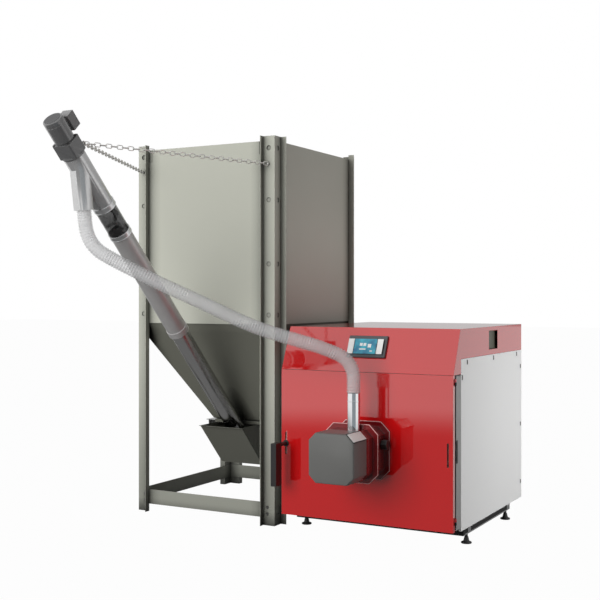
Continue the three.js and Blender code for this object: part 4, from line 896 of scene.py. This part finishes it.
def smooth_line(points, steps):
    """Points along a centripetal curve through the given ones, as the CAD hose follows."""
    ends = [2.0 * points[0] - points[1], *points, 2.0 * points[-1] - points[-2]]
    line = []
    for p0, p1, p2, p3 in zip(ends, ends[1:], ends[2:], ends[3:]):
        a, b, c = (math.sqrt((q - p).length) for p, q in ((p0, p1), (p1, p2), (p2, p3)))
        leaving = ((p1 - p0) / a - (p2 - p0) / (a + b) + (p2 - p1) / b) * b
        arriving = ((p2 - p1) / b - (p3 - p1) / (b + c) + (p3 - p2) / c) * b
        for i in range(steps):
            t = i / steps
            line.append(
                (2 * t**3 - 3 * t**2 + 1) * p1 + (t**3 - 2 * t**2 + t) * leaving
                + (3 * t**2 - 2 * t**3) * p2 + (t**3 - t**2) * arriving
            )
    line.append(points[-1].copy())
    return line


def evenly(line, count):
    """The line cut into equal steps."""
    lengths = [0.0]
    for a, b in zip(line, line[1:]):
        lengths.append(lengths[-1] + (b - a).length)
    result, k = [], 0
    for i in range(count + 1):
        goal = lengths[-1] * i / count
        while k < len(line) - 2 and lengths[k + 1] < goal:
            k += 1
        share = (goal - lengths[k]) / (lengths[k + 1] - lengths[k])
        result.append(line[k].lerp(line[k + 1], share))
    return result


def ringed(line, radii, sides):
    """Rings round a line, which don't twist along it."""
    rings, side = [], RIGHT
    for i, (place, radius) in enumerate(zip(line, radii)):
        along = (line[min(i + 1, len(line) - 1)] - line[max(i - 1, 0)]).normalized()
        side = (side - along * side.dot(along)).normalized()
        other = along.cross(side)
        rings.append([place + x * side + y * other for x, y in circle(radius, sides)])
    return rings


class BOILER_OT_hose(Operator):
    """Makes the ribbed hose from the feeder's spout to the burner's inlet"""

    bl_idname = "boiler.hose"
    bl_label = "Feed hose"

    def execute(self, context):
        settings = context.scene.boiler_hose
        line = smooth_line([spot(*p) for p in HOSE_ROUTE], HOSE_STEPS)
        ribs = round(settings.length / settings.rib_pitch)
        path = evenly(line, ribs * HOSE_RINGS)
        radii = []
        for i in range(len(path)):
            wave = 0.5 - 0.5 * math.cos(math.tau * i / HOSE_RINGS)
            depth = settings.rib_depth * (1.0 - wave) ** HOSE_CREST
            radii.append(settings.diameter / 2.0 - depth)
        bore = [settings.diameter / 2.0 - settings.wall] * (ribs + 1)
        outside = ringed(path, radii, HOSE_SIDES)
        inside = ringed(evenly(line, ribs), bore, HOSE_SIDES)
        shape = swept(outside + inside[::-1], loop=True)
        obj = placed("feed_hose_ribbed", new_mesh("feed_hose_ribbed", shape, ROUND_SHARP))
        obj.data.materials.append(
            clear_plastic("hose plastic", settings.colour, settings.cover, roughness=0.25)
        )
        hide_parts("feed_hose")
        evenly(line, 120)
        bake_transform(obj)
        return {"FINISHED"}


# The hopper


class BOILER_OT_hopper(Operator):
    """Paints the hopper's posts, frames, walls, funnel and trough"""

    bl_idname = "boiler.hopper"
    bl_label = "Hopper sheet"

    def execute(self, context):
        edge = context.scene.boiler_sheet.fold_edge
        skins(
            "hopper", "hopper_paint", edge, *POSTS, "bottom_frame", "top_frame", "wall_front",
            "wall_rear", "wall_right", "wall_left",
        )
        skins(
            "funnel", "funnel_paint", edge, "funnel_front", "funnel_rear", "funnel_right",
            "funnel_left", "outlet_frame", "trough",
        )
        skins("zinc", "bare_steel", edge, "slide_gate")
        return {"FINISHED"}


def hex_head(radius, height):
    """A hexagon head with a washer under it, on Z."""
    reach, thickness, sides = 1.35 * radius, 0.25 * height, 24
    washer = rod(reach, 0.0, thickness, sides)
    return merged([washer, prism(circle(radius, 6), thickness, height)])


class BOILER_OT_bolts(Operator):
    """Adds the bolts that hold the bottom frame to the posts"""

    bl_idname = "boiler.bolts"
    bl_label = "Hopper bolts"

    def execute(self, context):
        sheet = context.scene.boiler_sheet
        head = hex_head(sheet.bolt_radius, sheet.bolt_height)
        heights, inset, bolts = (0.054, 0.084), 0.038, []
        for name in POSTS:
            low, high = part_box(name)
            front, right = "front" in name, "right" in name
            x = high.x - POST_LIP if right else low.x + POST_LIP
            y = low.y + POST_LIP if front else high.y - POST_LIP
            inward = -RIGHT if right else RIGHT
            deeper = BACK if front else -BACK
            for height in heights:
                corner = Vector((x, y, height))
                bolts.append(moved(head, facing(corner + inward * inset, -deeper)))
                bolts.append(moved(head, facing(corner + deeper * inset, -inward)))
        piece("hopper_bolts", merged(bolts), "dark steel", edge=BOLT_EDGE)
        return {"FINISHED"}


# The feeder. Stations are measured up its tube from its foot.

WINDOW_START, WINDOW_END = 1.51, 1.66
HALF_JOINT = 0.00015
HEAD_END = 1.922
BROKEN_EDGE = 0.0005
TROUGH_FLOOR = 0.215


def feeder_piece(name, shape, material, **values):
    return piece(name, moved(shape, FEEDER), material, **values)


def tube_start(radius):
    """Where the tube's lowest point rests on the trough's floor."""
    rest = TROUGH_FLOOR + FIT - FEEDER_FOOT[2]
    return (rest + radius * math.sin(FEEDER_TILT)) / math.cos(FEEDER_TILT)


def clamp(inner, outer, station, sides):
    """A band with two rolled rims."""
    half, rim, corner, groove, slope = 0.012, 0.0022, 0.0008, 0.0015, 0.001
    lower = [
        (inner, half), (outer - corner, half), (outer, half - corner), (outer, half - rim),
        (outer - groove, half - rim - slope),
    ]
    profile = [(r, station - z) for r, z in lower] + [(r, station + z) for r, z in lower[::-1]]
    return revolved(profile, sides)


def make_head(bore, sleeve, sides):
    """The closed end of the tube with its spout, hollow and open for the screw's shaft."""
    spout_station, spout_lean = 1.8719, math.radians(8.5)
    radius, length, bore_radius = 0.04, 0.1808, 0.0375
    mouth_radius, mouth_start, mouth_end = 0.024, 0.1778, 0.197
    hollow_start, hollow_end = 1.64, 1.919
    shaft_bore, shaft_start, shaft_end = 0.0096, 1.9, 1.94
    down = -UP
    down.rotate(Matrix.Rotation(spout_lean - FEEDER_TILT, 3, "X"))
    turn = facing((0.0, 0.0, spout_station), down)
    head = feeder_piece("feeder_head", turned([
        (sleeve, WINDOW_END + HALF_JOINT), (sleeve, HEAD_END - BROKEN_EDGE),
        (sleeve - BROKEN_EDGE, HEAD_END),
    ], sides), "head", replaces=("auger_head",))
    spout = turned([
        (radius, 0.0), (radius, length - BROKEN_EDGE), (radius - BROKEN_EDGE, length),
    ], sides)
    drop = turned([
        (bore_radius, 0.0), (bore_radius, mouth_start), (mouth_radius, mouth_start),
        (mouth_radius, mouth_end),
    ], sides)
    cut(head, moved(moved(spout, turn), FEEDER), "UNION")
    cut(head, moved(rod(bore, hollow_start, hollow_end, sides), FEEDER))
    cut(head, moved(moved(drop, turn), FEEDER))
    cut(head, moved(rod(shaft_bore, shaft_start, shaft_end, sides), FEEDER))


def make_screw(settings):
    """The helix with the hub and shaft that drive it."""
    first, last, steps = -0.006, 1.876, 30
    bore, outer, half = 0.015, settings.screw_radius, 0.002
    hub_radius, hub_start, hub_end = 0.019, last - 0.03, last + 0.004
    shaft_radius, shaft_end, hub_sides = 0.009, HEAD_END + 0.03, 32
    turns = (last - first) / settings.screw_pitch
    section = [(bore, -half), (bore, half), (outer, half), (outer, -half)]
    rings = []
    count = round(turns * steps)
    for i in range(count + 1):
        angle = math.tau * turns * i / count
        height = first + (last - first) * i / count
        rings.append([
            (r * math.cos(angle), r * math.sin(angle), height + rise) for r, rise in section
        ])
    hub = turned([
        (hub_radius, hub_start), (hub_radius, hub_end), (shaft_radius, hub_end),
        (shaft_radius, shaft_end),
    ], hub_sides)
    feeder_piece(
        "feeder_screw", merged([swept(rings), hub]), "steel", body="screw",
        replaces=("auger_screw",),
    )


class BOILER_OT_feeder(Operator):
    """Makes the feeder's tubes, window, rings, head and spout round and smooth"""

    bl_idname = "boiler.feeder"
    bl_label = "Feeder tubes"

    def execute(self, context):
        settings = context.scene.boiler_feeder
        sides, sleeve, radius = settings.sides, settings.sleeve_radius, settings.tube_radius
        bore = radius + FIT

        tube_end, mouth_start, mouth_end, mouth_edge, clear = 0.985, 0.010, 0.318, -0.42, 0.06
        start = tube_start(radius)
        lower = feeder_piece(
            "feeder_tube_lower",
            tube(radius - settings.wall, radius, start, tube_end, sides, BROKEN_EDGE),
            "steel", replaces=("auger_tube_lower",),
        )
        mouth = slab(-clear, clear, -clear, mouth_edge * radius, mouth_start, mouth_end)
        cut(lower, moved(mouth, FEEDER))

        collar, collar_start, collar_end = 0.049, 0.905, 0.935
        sleeve_end = WINDOW_START - HALF_JOINT
        feeder_piece("feeder_tube_upper", revolved([
            (bore, collar_start), (collar - BROKEN_EDGE, collar_start),
            (collar, collar_start + BROKEN_EDGE), (collar, collar_end - BROKEN_EDGE),
            (collar - BROKEN_EDGE, collar_end), (sleeve, collar_end), (sleeve, sleeve_end),
            (bore, sleeve_end),
        ], sides), "galvanised", replaces=("auger_tube_upper",))

        window_wall, ring_radius = 0.003, 0.05
        window = tube(
            sleeve - window_wall, sleeve, WINDOW_START + HALF_JOINT, WINDOW_END - HALF_JOINT,
            sides,
        )
        plastic = clear_plastic("window plastic", grey(0.015), cover=0.5, roughness=0.08)
        feeder_piece(
            "feeder_window", window, plastic, slot="window_plastic", replaces=("auger_window",),
        )
        for name, station in (
            ("window_ring_lower", WINDOW_START), ("window_ring_upper", WINDOW_END),
        ):
            feeder_piece(
                name + "_clamp", clamp(sleeve + FIT, ring_radius, station, sides), "zinc",
                edge=BOLT_EDGE, replaces=(name,),
            )
        make_head(bore, sleeve, sides)
        make_screw(settings)
        return {"FINISHED"}


class BOILER_OT_drive(Operator):
    """Makes the gear housing, the motor and its terminal box"""

    bl_idname = "boiler.drive"
    bl_label = "Feeder drive"

    def execute(self, context):
        sides = context.scene.boiler_feeder.sides
        housing_length, motor_length = 0.071, 0.1045
        base = HEAD_END + FIT + housing_length + FIT
        top = base + motor_length
        skins("cast", "cast_dark", CASTING_EDGE, "drive_housing")
        flange, body, groove, shoulder = 0.036, 0.0415, 0.0407, 0.0401
        foot, corner, slope = base + 0.006, 0.001, 0.0006
        groove_start, groove_end = top - 0.024, top - 0.021
        shoulder_start, shoulder_end = top - 0.006, top - 0.0022
        feeder_piece("drive_motor", turned([
            (flange, base), (flange, foot), (body - corner, foot), (body, foot + corner),
            (body, groove_start), (groove, groove_start + slope), (groove, groove_end - slope),
            (body, groove_end), (body, shoulder_start), (shoulder, shoulder_end), (flange, top),
        ], sides), "cast", slot="cast_dark", replaces=("motor",))
        skins("box", "cast_dark", BOX_EDGE, "terminal_box")
        box_top, half_width, lid_start, lid_end = 0.0945, 0.0245, 2.0021, 2.0681
        lid_height, cap_radius, cap_height = 0.0013, 0.0345, 0.0012
        lid = slab(-half_width, half_width, box_top, box_top + lid_height, lid_start, lid_end)
        cap = rod(cap_radius, top, top + cap_height, sides)
        feeder_piece("drive_lids", merged([lid, cap]), "lid", slot="cast_dark", edge=PLATE_EDGE)
        skins("dark steel", "bare_steel", LUG_EDGE, "chain_eye")
        bolt_radius, bolt_height, bolt_x, bolt_y = 0.0045, 0.0035, 0.036, 0.031
        bolt = hex_head(bolt_radius, bolt_height)
        feeder_piece("drive_bolts", merged([
            moved(bolt, Matrix.Translation((x, y, base - FIT)))
            for x in (-bolt_x, bolt_x) for y in (-bolt_y, bolt_y)
        ]), "dark steel")
        return {"FINISHED"}


# The chains

# The holes of the posts that the chains hook into, from the set-out corner
CHAIN_HOLES = {
    "chain_right": (-0.0312, -0.006, 1.67), "chain_left": (-0.7468, -0.006, 1.67),
}
# The lug's hole, on the feeder's axes
CHAIN_START = (0.032, 0.0468, 1.9403)
WIRE_SIDES = 8
HOOK_RADIUS, HOOK_LENGTH, HOOK_START, HOOK_SIDES = 0.0045, 0.018, 0.003, 16


def chain_link(length, width, wire):
    """One oval link along X, its hole facing Z."""
    bend = width / 2.0 - wire
    straight = length / 2.0 - wire - bend
    line, steps = [], 10
    for sign in (1.0, -1.0):
        for i in range(steps + 1):
            angle = math.pi * (i / steps - 0.5)
            x = sign * (straight + bend * math.cos(angle))
            line.append(Vector((x, sign * bend * math.sin(angle), 0.0)))
    rings = []
    for i, place in enumerate(line):
        side = (line[(i + 1) % len(line)] - line[i - 1]).normalized().cross(UP)
        rings.append([place + x * side + y * UP for x, y in circle(wire, WIRE_SIDES)])
    return swept(rings, loop=True)


class BOILER_OT_chains(Operator):
    """Makes the two stay chains, link by link"""

    bl_idname = "boiler.chains"
    bl_label = "Stay chains"

    def execute(self, context):
        settings = context.scene.boiler_feeder
        wire = settings.link_wire
        link = chain_link(settings.link_length, settings.link_width, wire)
        hook = rod(HOOK_RADIUS, 0.0, HOOK_LENGTH, HOOK_SIDES)
        start = FEEDER @ Vector(CHAIN_START)
        for name, hole in CHAIN_HOLES.items():
            end = spot(*hole)
            reach = end - start
            count = max(2, round(reach.length / (settings.link_length - 4.0 * wire)))
            direction = reach.normalized()
            side = direction.cross(UP).normalized()
            over = side.cross(direction)
            shapes = []
            for i in range(count):
                flat = (side, over) if i % 2 else (over, -side)
                place = on_axes(start + reach * (i + 0.5) / count, direction, *flat)
                shapes.append(moved(link, place))
            shapes.append(moved(hook, facing(end - BACK * HOOK_START, BACK)))
            piece(name + "_links", merged(shapes), "chain", replaces=(name,), sharp=ROUND_SHARP)
        return {"FINISHED"}


# The boiler. Heights are from the floor, and the rest is from the set-out corner.

SLOT_SIZE = (0.0104, 0.0184)
# How far a slot's black block of painted shade starts inside the panel's face and ends outside it
SLOT_SHADE_FILL = (0.0005, 0.0002)
SLOT_PLACES = (
    (0.0804, 0.7795), (0.43285, 0.7795), (0.7853, 0.7795), (0.8477, 0.7171),
    (0.8477, 0.43475), (0.8477, 0.1524), (0.018, 0.7171),
)
# Black blocks of painted shade in the casing's and the door's handle slots
CASING_HANDLE_SLOT = (0.9004, 0.9008, -0.0555, -0.038, 0.366, 0.462)
DOOR_HANDLE_SLOT = (0.8735, 0.8785, -0.0868, -0.0862, 0.357, 0.461)
# Painted highlights: pale strips on door edges that catch the light
DOOR_EDGE_HIGHLIGHTS = (
    (0.1132, 0.115, -0.0876, -0.0866, 0.356, 0.458),
    (0.8984, 0.899, -0.0862, -0.0672, 0.146, 0.684),
)
CASING_STRIP = (0.8985, 0.9005, -0.056, 0.0015, 0.088, 0.728)
BASE_LIPS = (
    (0.8958, 0.8966, 0.062, 0.672, 0.0451, 0.0505),
    (0.8958, 0.8976, 0.1, 0.135, 0.0465, 0.0735),
    (0.8958, 0.8976, 0.644, 0.679, 0.0465, 0.0735),
)
# The plate behind the hood's port: how deep it lies, how thick it is, and its Y and Z
PORT_DEPTH, PORT_THICKNESS = 0.0145, 0.001
PORT_PLATE = (0.355, 0.502, 0.8055, 0.9125)
FOOT_HEIGHT = 0.0737
FOOT_PROFILE = (
    (0.0215, 0.0), (0.023, 0.0012), (0.023, 0.0052), (0.0215, 0.0068), (0.0135, 0.0098),
    (0.0115, 0.0165), (0.0085, 0.029), (0.0062, 0.031), (0.006, 0.0735), (0.0055, FOOT_HEIGHT),
)


class BOILER_OT_casing(Operator):
    """Finishes the hood, panels, door, base and feet"""

    bl_idname = "boiler.casing"
    bl_label = "Boiler casing"

    def execute(self, context):
        sheet = context.scene.boiler_sheet
        skins("red", "boiler_red", sheet.casing_edge, "hood", "door")
        skins(
            "casing", "casing_white", sheet.fold_edge, "side_panel_left", "side_panel_right",
            "back_panel",
        )
        skins(
            "base", "base_black", sheet.fold_edge, "base_frame", "hinge_upper", "hinge_lower",
        )
        self.make_inserts()
        self.make_feet()
        return {"FINISHED"}

    @staticmethod
    def make_inserts():
        """What shows through and beside the casing's slots: black blocks of painted shade, a strip
        and a plate.
        """
        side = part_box("side_panel_right")[1].x - SET_OUT.x
        half_width, half_height = SLOT_SIZE[0] / 2.0, SLOT_SIZE[1] / 2.0
        shade_fills = [
            block(side - SLOT_SHADE_FILL[0], side + SLOT_SHADE_FILL[1], y - half_width, y + half_width,
                  z - half_height, z + half_height)
            for y, z in SLOT_PLACES
        ]
        shade_fills.append(block(*CASING_HANDLE_SLOT))
        # Painted shade in the door's handle slot
        piece("door_slot_back", block(*DOOR_HANDLE_SLOT), "shade fill", "door", "boiler_red")
        # Painted highlights on the door's edges
        edges = merged([block(*edge) for edge in DOOR_EDGE_HIGHLIGHTS])
        piece("door_bright_edges", edges, "rim", "door", "boiler_red")
        piece("casing_slot_backs", merged(shade_fills), "shade fill", slot="casing_white")
        piece(
            "casing_strip", block(*CASING_STRIP), "jacket", slot="casing_white", edge=PLATE_EDGE,
        )
        lips = merged([block(*lip) for lip in BASE_LIPS])
        piece("base_lips", lips, "zinc", slot="base_black", edge=BOLT_EDGE)
        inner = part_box("hood")[1].x - SET_OUT.x - PORT_DEPTH
        plate = block(inner, inner + PORT_THICKNESS, *PORT_PLATE)
        piece("hood_port_plate", plate, "olive", slot="vessel_paint")

    @staticmethod
    def make_feet():
        sides, nut_radius, nut_height, frame_sheet = 40, 0.01, 0.008, 0.003
        nut_top = FOOT_HEIGHT - frame_sheet - FIT
        nut = prism(circle(nut_radius, 6), nut_top - nut_height, nut_top)
        foot = merged([turned(FOOT_PROFILE, sides), nut])
        for node in ("foot_front_left", "foot_front_right", "foot_rear_left", "foot_rear_right"):
            low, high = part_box(node)
            middle = Matrix.Translation(((low.x + high.x) / 2.0, (low.y + high.y) / 2.0, 0.0))
            piece(
                node + "_turned", moved(foot, middle), "black", slot="cast_dark",
                edge=PLATE_EDGE, replaces=(node,),
            )


class BOILER_OT_inside(Operator):
    """Finishes the vessel and what is in and behind it"""

    bl_idname = "boiler.inside"
    bl_label = "Vessel and connections"

    def execute(self, context):
        edge = context.scene.boiler_sheet.fold_edge
        skins("jacket", "vessel_paint", CASE_EDGE, "boiler_body")
        skins("board", "refractory", BOX_EDGE, "door_insulation")
        skins(
            "dark steel", "bare_steel", edge, "smoke_box_lid", "turbulators", "ash_pan",
            "burner_tube", "fan_wheel",
        )
        skins("steel", "bare_steel", edge, "flue_collar", "flow_pipe", "return_pipe")
        return {"FINISHED"}


# The direction up the hood's slope, and places on the controller's face from its lower left corner
HOOD_SLOPE = (0.0, 0.04, 0.0927)
SCREEN = (0.036, 0.1405, 0.0165, 0.085)
STRIPS = ((0.006, 0.033, 0.0165, 0.085), (0.1435, 0.1705, 0.0165, 0.085))
TILES = (
    (0.062, 0.075, 0.052, 0.065), (0.079, 0.092, 0.052, 0.065), (0.062, 0.092, 0.034, 0.04),
    (0.1, 0.116, 0.045, 0.061), (0.112, 0.124, 0.026, 0.032),
)


class BOILER_OT_display(Operator):
    """Makes the controller with its lit screen"""

    bl_idname = "boiler.display"
    bl_label = "Controller"

    def execute(self, context):
        case_depth, plate, tile = 0.012 + FIT, 0.0009, 0.0004
        rise = Vector(HOOD_SLOPE).normalized()
        place = on_axes(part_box("display")[0], RIGHT, rise, RIGHT.cross(rise))
        skins("bezel", "display_glass", CASE_EDGE, "display")
        top = case_depth + plate
        for name, plates, material, low, high, edge in (
            ("display_screen", (SCREEN,), screen_material(), case_depth, top, PLATE_EDGE),
            ("display_strips", STRIPS, "strip", case_depth, top, PLATE_EDGE),
            ("display_tiles", TILES, "strip", top, top + tile, 0.0),
        ):
            shape = merged([slab(*plate, low, high) for plate in plates])
            piece(name, moved(shape, place), material, slot="display_glass", edge=edge)
        return {"FINISHED"}


# The middle of the burner's flanges, and the faces of their two fronts
BURNER_MIDDLE = (0.4927, 0.402)
FLANGE_FRONTS = (-0.21, -0.092)
# Outer and inner outline of the painted highlight band on a flange's rim: half its width, and its
# corners' chamfer
RIM_OUTLINES = ((0.1238, 0.0399), (0.1214, 0.0389))
RIM_BACK, RIM_FRONT = 0.0002, 0.0006
# A painted highlight plate and its painted shade gap over the cover's upper right facet, from its
# corner: down, back and out
FACET_CORNER = (0.071, -0.3955, 0.103)
FACET_SHADE_GAP = (-0.0025, 0.0465, -0.0062, 0.118, -0.001, 0.0007)
FACET_HIGHLIGHT_PLATE = (0.001, 0.0425, -0.001, 0.118, -0.001, 0.0022)
FACET_EDGE = 0.0006
PIPE_BORE, PIPE_RADIUS, PIPE_BEAD, BEAD_SLOPE = 0.024, 0.0265, 0.0285, 0.0008
PIPE_START, PIPE_END, BEAD_START, BEAD_END = 0.481, 0.6567, 0.6207, 0.6257


def octagon(half, chamfer):
    near = half - chamfer
    return [
        (-near, -half), (near, -half), (half, -near), (half, near), (near, half),
        (-near, half), (-half, near), (-half, -near),
    ]


class BOILER_OT_burner(Operator):
    """Finishes the burner's housings, cover, knob and inlet pipe"""

    bl_idname = "boiler.burner"
    bl_label = "Burner"

    def execute(self, context):
        skins(
            "burner red", "boiler_red", HOUSING_EDGE, "burner_rear_housing",
            "burner_front_housing",
        )
        skins("cover", "cover_plastic", BOX_EDGE, "burner_cover")
        pipe = revolved([
            (PIPE_BORE, PIPE_START), (PIPE_RADIUS, PIPE_START), (PIPE_RADIUS, BEAD_START),
            (PIPE_BEAD, BEAD_START + BEAD_SLOPE), (PIPE_BEAD, BEAD_END - BEAD_SLOPE),
            (PIPE_RADIUS, BEAD_END), (PIPE_RADIUS, PIPE_END - BROKEN_EDGE),
            (PIPE_RADIUS - BROKEN_EDGE, PIPE_END), (PIPE_BORE + BROKEN_EDGE, PIPE_END),
            (PIPE_BORE, PIPE_END - BROKEN_EDGE),
        ], context.scene.boiler_feeder.sides)
        piece(
            "inlet_pipe_turned", moved(pipe, Matrix.Translation(spot(*INLET_AXIS, 0.0))),
            "chrome", "door", replaces=("inlet_pipe",),
        )
        self.make_trim()
        self.make_knob()
        return {"FINISHED"}

    @staticmethod
    def make_trim():
        """Painted highlight bands on the rims of the two flanges, and a painted highlight plate in
        a painted shade gap on the cover's upper right facet.
        """
        middle, height = BURNER_MIDDLE
        rims = []
        for front in FLANGE_FRONTS:
            outer, inner = (
                [[spot(middle + x, y, height + z) for x, z in octagon(*outline)]
                 for y in (front + RIM_BACK, front - RIM_FRONT)]
                for outline in RIM_OUTLINES
            )
            rims.append(swept([*outer, *inner[::-1]], loop=True))
        # Painted highlight bands on the flange rims
        piece("burner_rims", merged(rims), "rim", "door", "boiler_red")
        slope = (RIGHT - UP).normalized()
        corner = spot(middle, 0.0, height) + Vector(FACET_CORNER)
        place = on_axes(corner, slope, BACK, slope.cross(BACK))
        # A painted highlight plate on the facet, in a gap of painted shade
        for name, sizes, material, edge in (
            ("burner_facet_gap", FACET_SHADE_GAP, "shade fill", 0.0),
            ("burner_facet", FACET_HIGHLIGHT_PLATE, "bright cover", FACET_EDGE),
        ):
            piece(name, moved(slab(*sizes), place), material, "door", "cover_plastic", edge)

    @staticmethod
    def make_knob():
        """A lobed hand knob on its stud."""
        lobes, steps, radius, lobe, length = 6, 8, 0.0205, 0.0015, 0.027
        stud_radius, stud_start, stud_end, stud_sides = 0.004, -0.0137, 0.001, 20
        outline = []
        for i, (x, y) in enumerate(circle(1.0, lobes * steps)):
            reach = radius + lobe * math.cos(math.tau * i / steps)
            outline.append((x * reach, y * reach))
        low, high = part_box("clamp_knob")
        start = Vector((high.x - length, (low.y + high.y) / 2.0, (low.z + high.z) / 2.0))
        stud = rod(stud_radius, stud_start, stud_end, stud_sides)
        shape = merged([prism(outline, 0.0, length), stud])
        piece(
            "clamp_knob_lobed", moved(shape, facing(start, RIGHT)), "black", "knob",
            "black_plastic", edge=CASTING_EDGE, replaces=("clamp_knob",),
        )


class BOILER_OT_handle(Operator):
    """Makes the door's latch handle"""

    bl_idname = "boiler.handle"
    bl_label = "Door handle"

    def execute(self, context):
        skins("black", "black_plastic", HANDLE_EDGE, "door_handle")
        return {"FINISHED"}


class BOILER_PT_panel(bpy.types.Panel):
    """Lists the pieces that can be made"""

    bl_idname = "BOILER_PT_panel"
    bl_label = "Pellet boiler"
    bl_space_type = "VIEW_3D"
    bl_region_type = "UI"
    bl_category = "Boiler"

    def draw(self, context):
        for operator in OPERATORS:
            self.layout.operator(operator.bl_idname)


SETTINGS = {
    "boiler_stage": StageSettings, "boiler_hose": HoseSettings, "boiler_paint": PaintSettings,
    "boiler_sheet": SheetSettings, "boiler_feeder": FeederSettings,
}
OPERATORS = (
    BOILER_OT_stage, BOILER_OT_hose, BOILER_OT_hopper, BOILER_OT_bolts, BOILER_OT_feeder,
    BOILER_OT_drive, BOILER_OT_chains, BOILER_OT_casing, BOILER_OT_inside, BOILER_OT_display,
    BOILER_OT_burner, BOILER_OT_handle,
)
CLASSES = (*SETTINGS.values(), *OPERATORS, BOILER_PT_panel)


def register():
    for kind in CLASSES:
        bpy.utils.register_class(kind)
    for name, group in SETTINGS.items():
        setattr(bpy.types.Scene, name, PointerProperty(type=group))


def unregister():
    for name in SETTINGS:
        delattr(bpy.types.Scene, name)
    for kind in reversed(CLASSES):
        bpy.utils.unregister_class(kind)


def main():
    register()
    bpy.ops.boiler.stage()
    bpy.ops.boiler.hose()
    bpy.ops.boiler.hopper()
    bpy.ops.boiler.bolts()
    bpy.ops.boiler.feeder()
    bpy.ops.boiler.drive()
    bpy.ops.boiler.chains()
    bpy.ops.boiler.casing()
    bpy.ops.boiler.inside()
    bpy.ops.boiler.display()
    bpy.ops.boiler.burner()
    bpy.ops.boiler.handle()


if __name__ == "__main__":
    main()
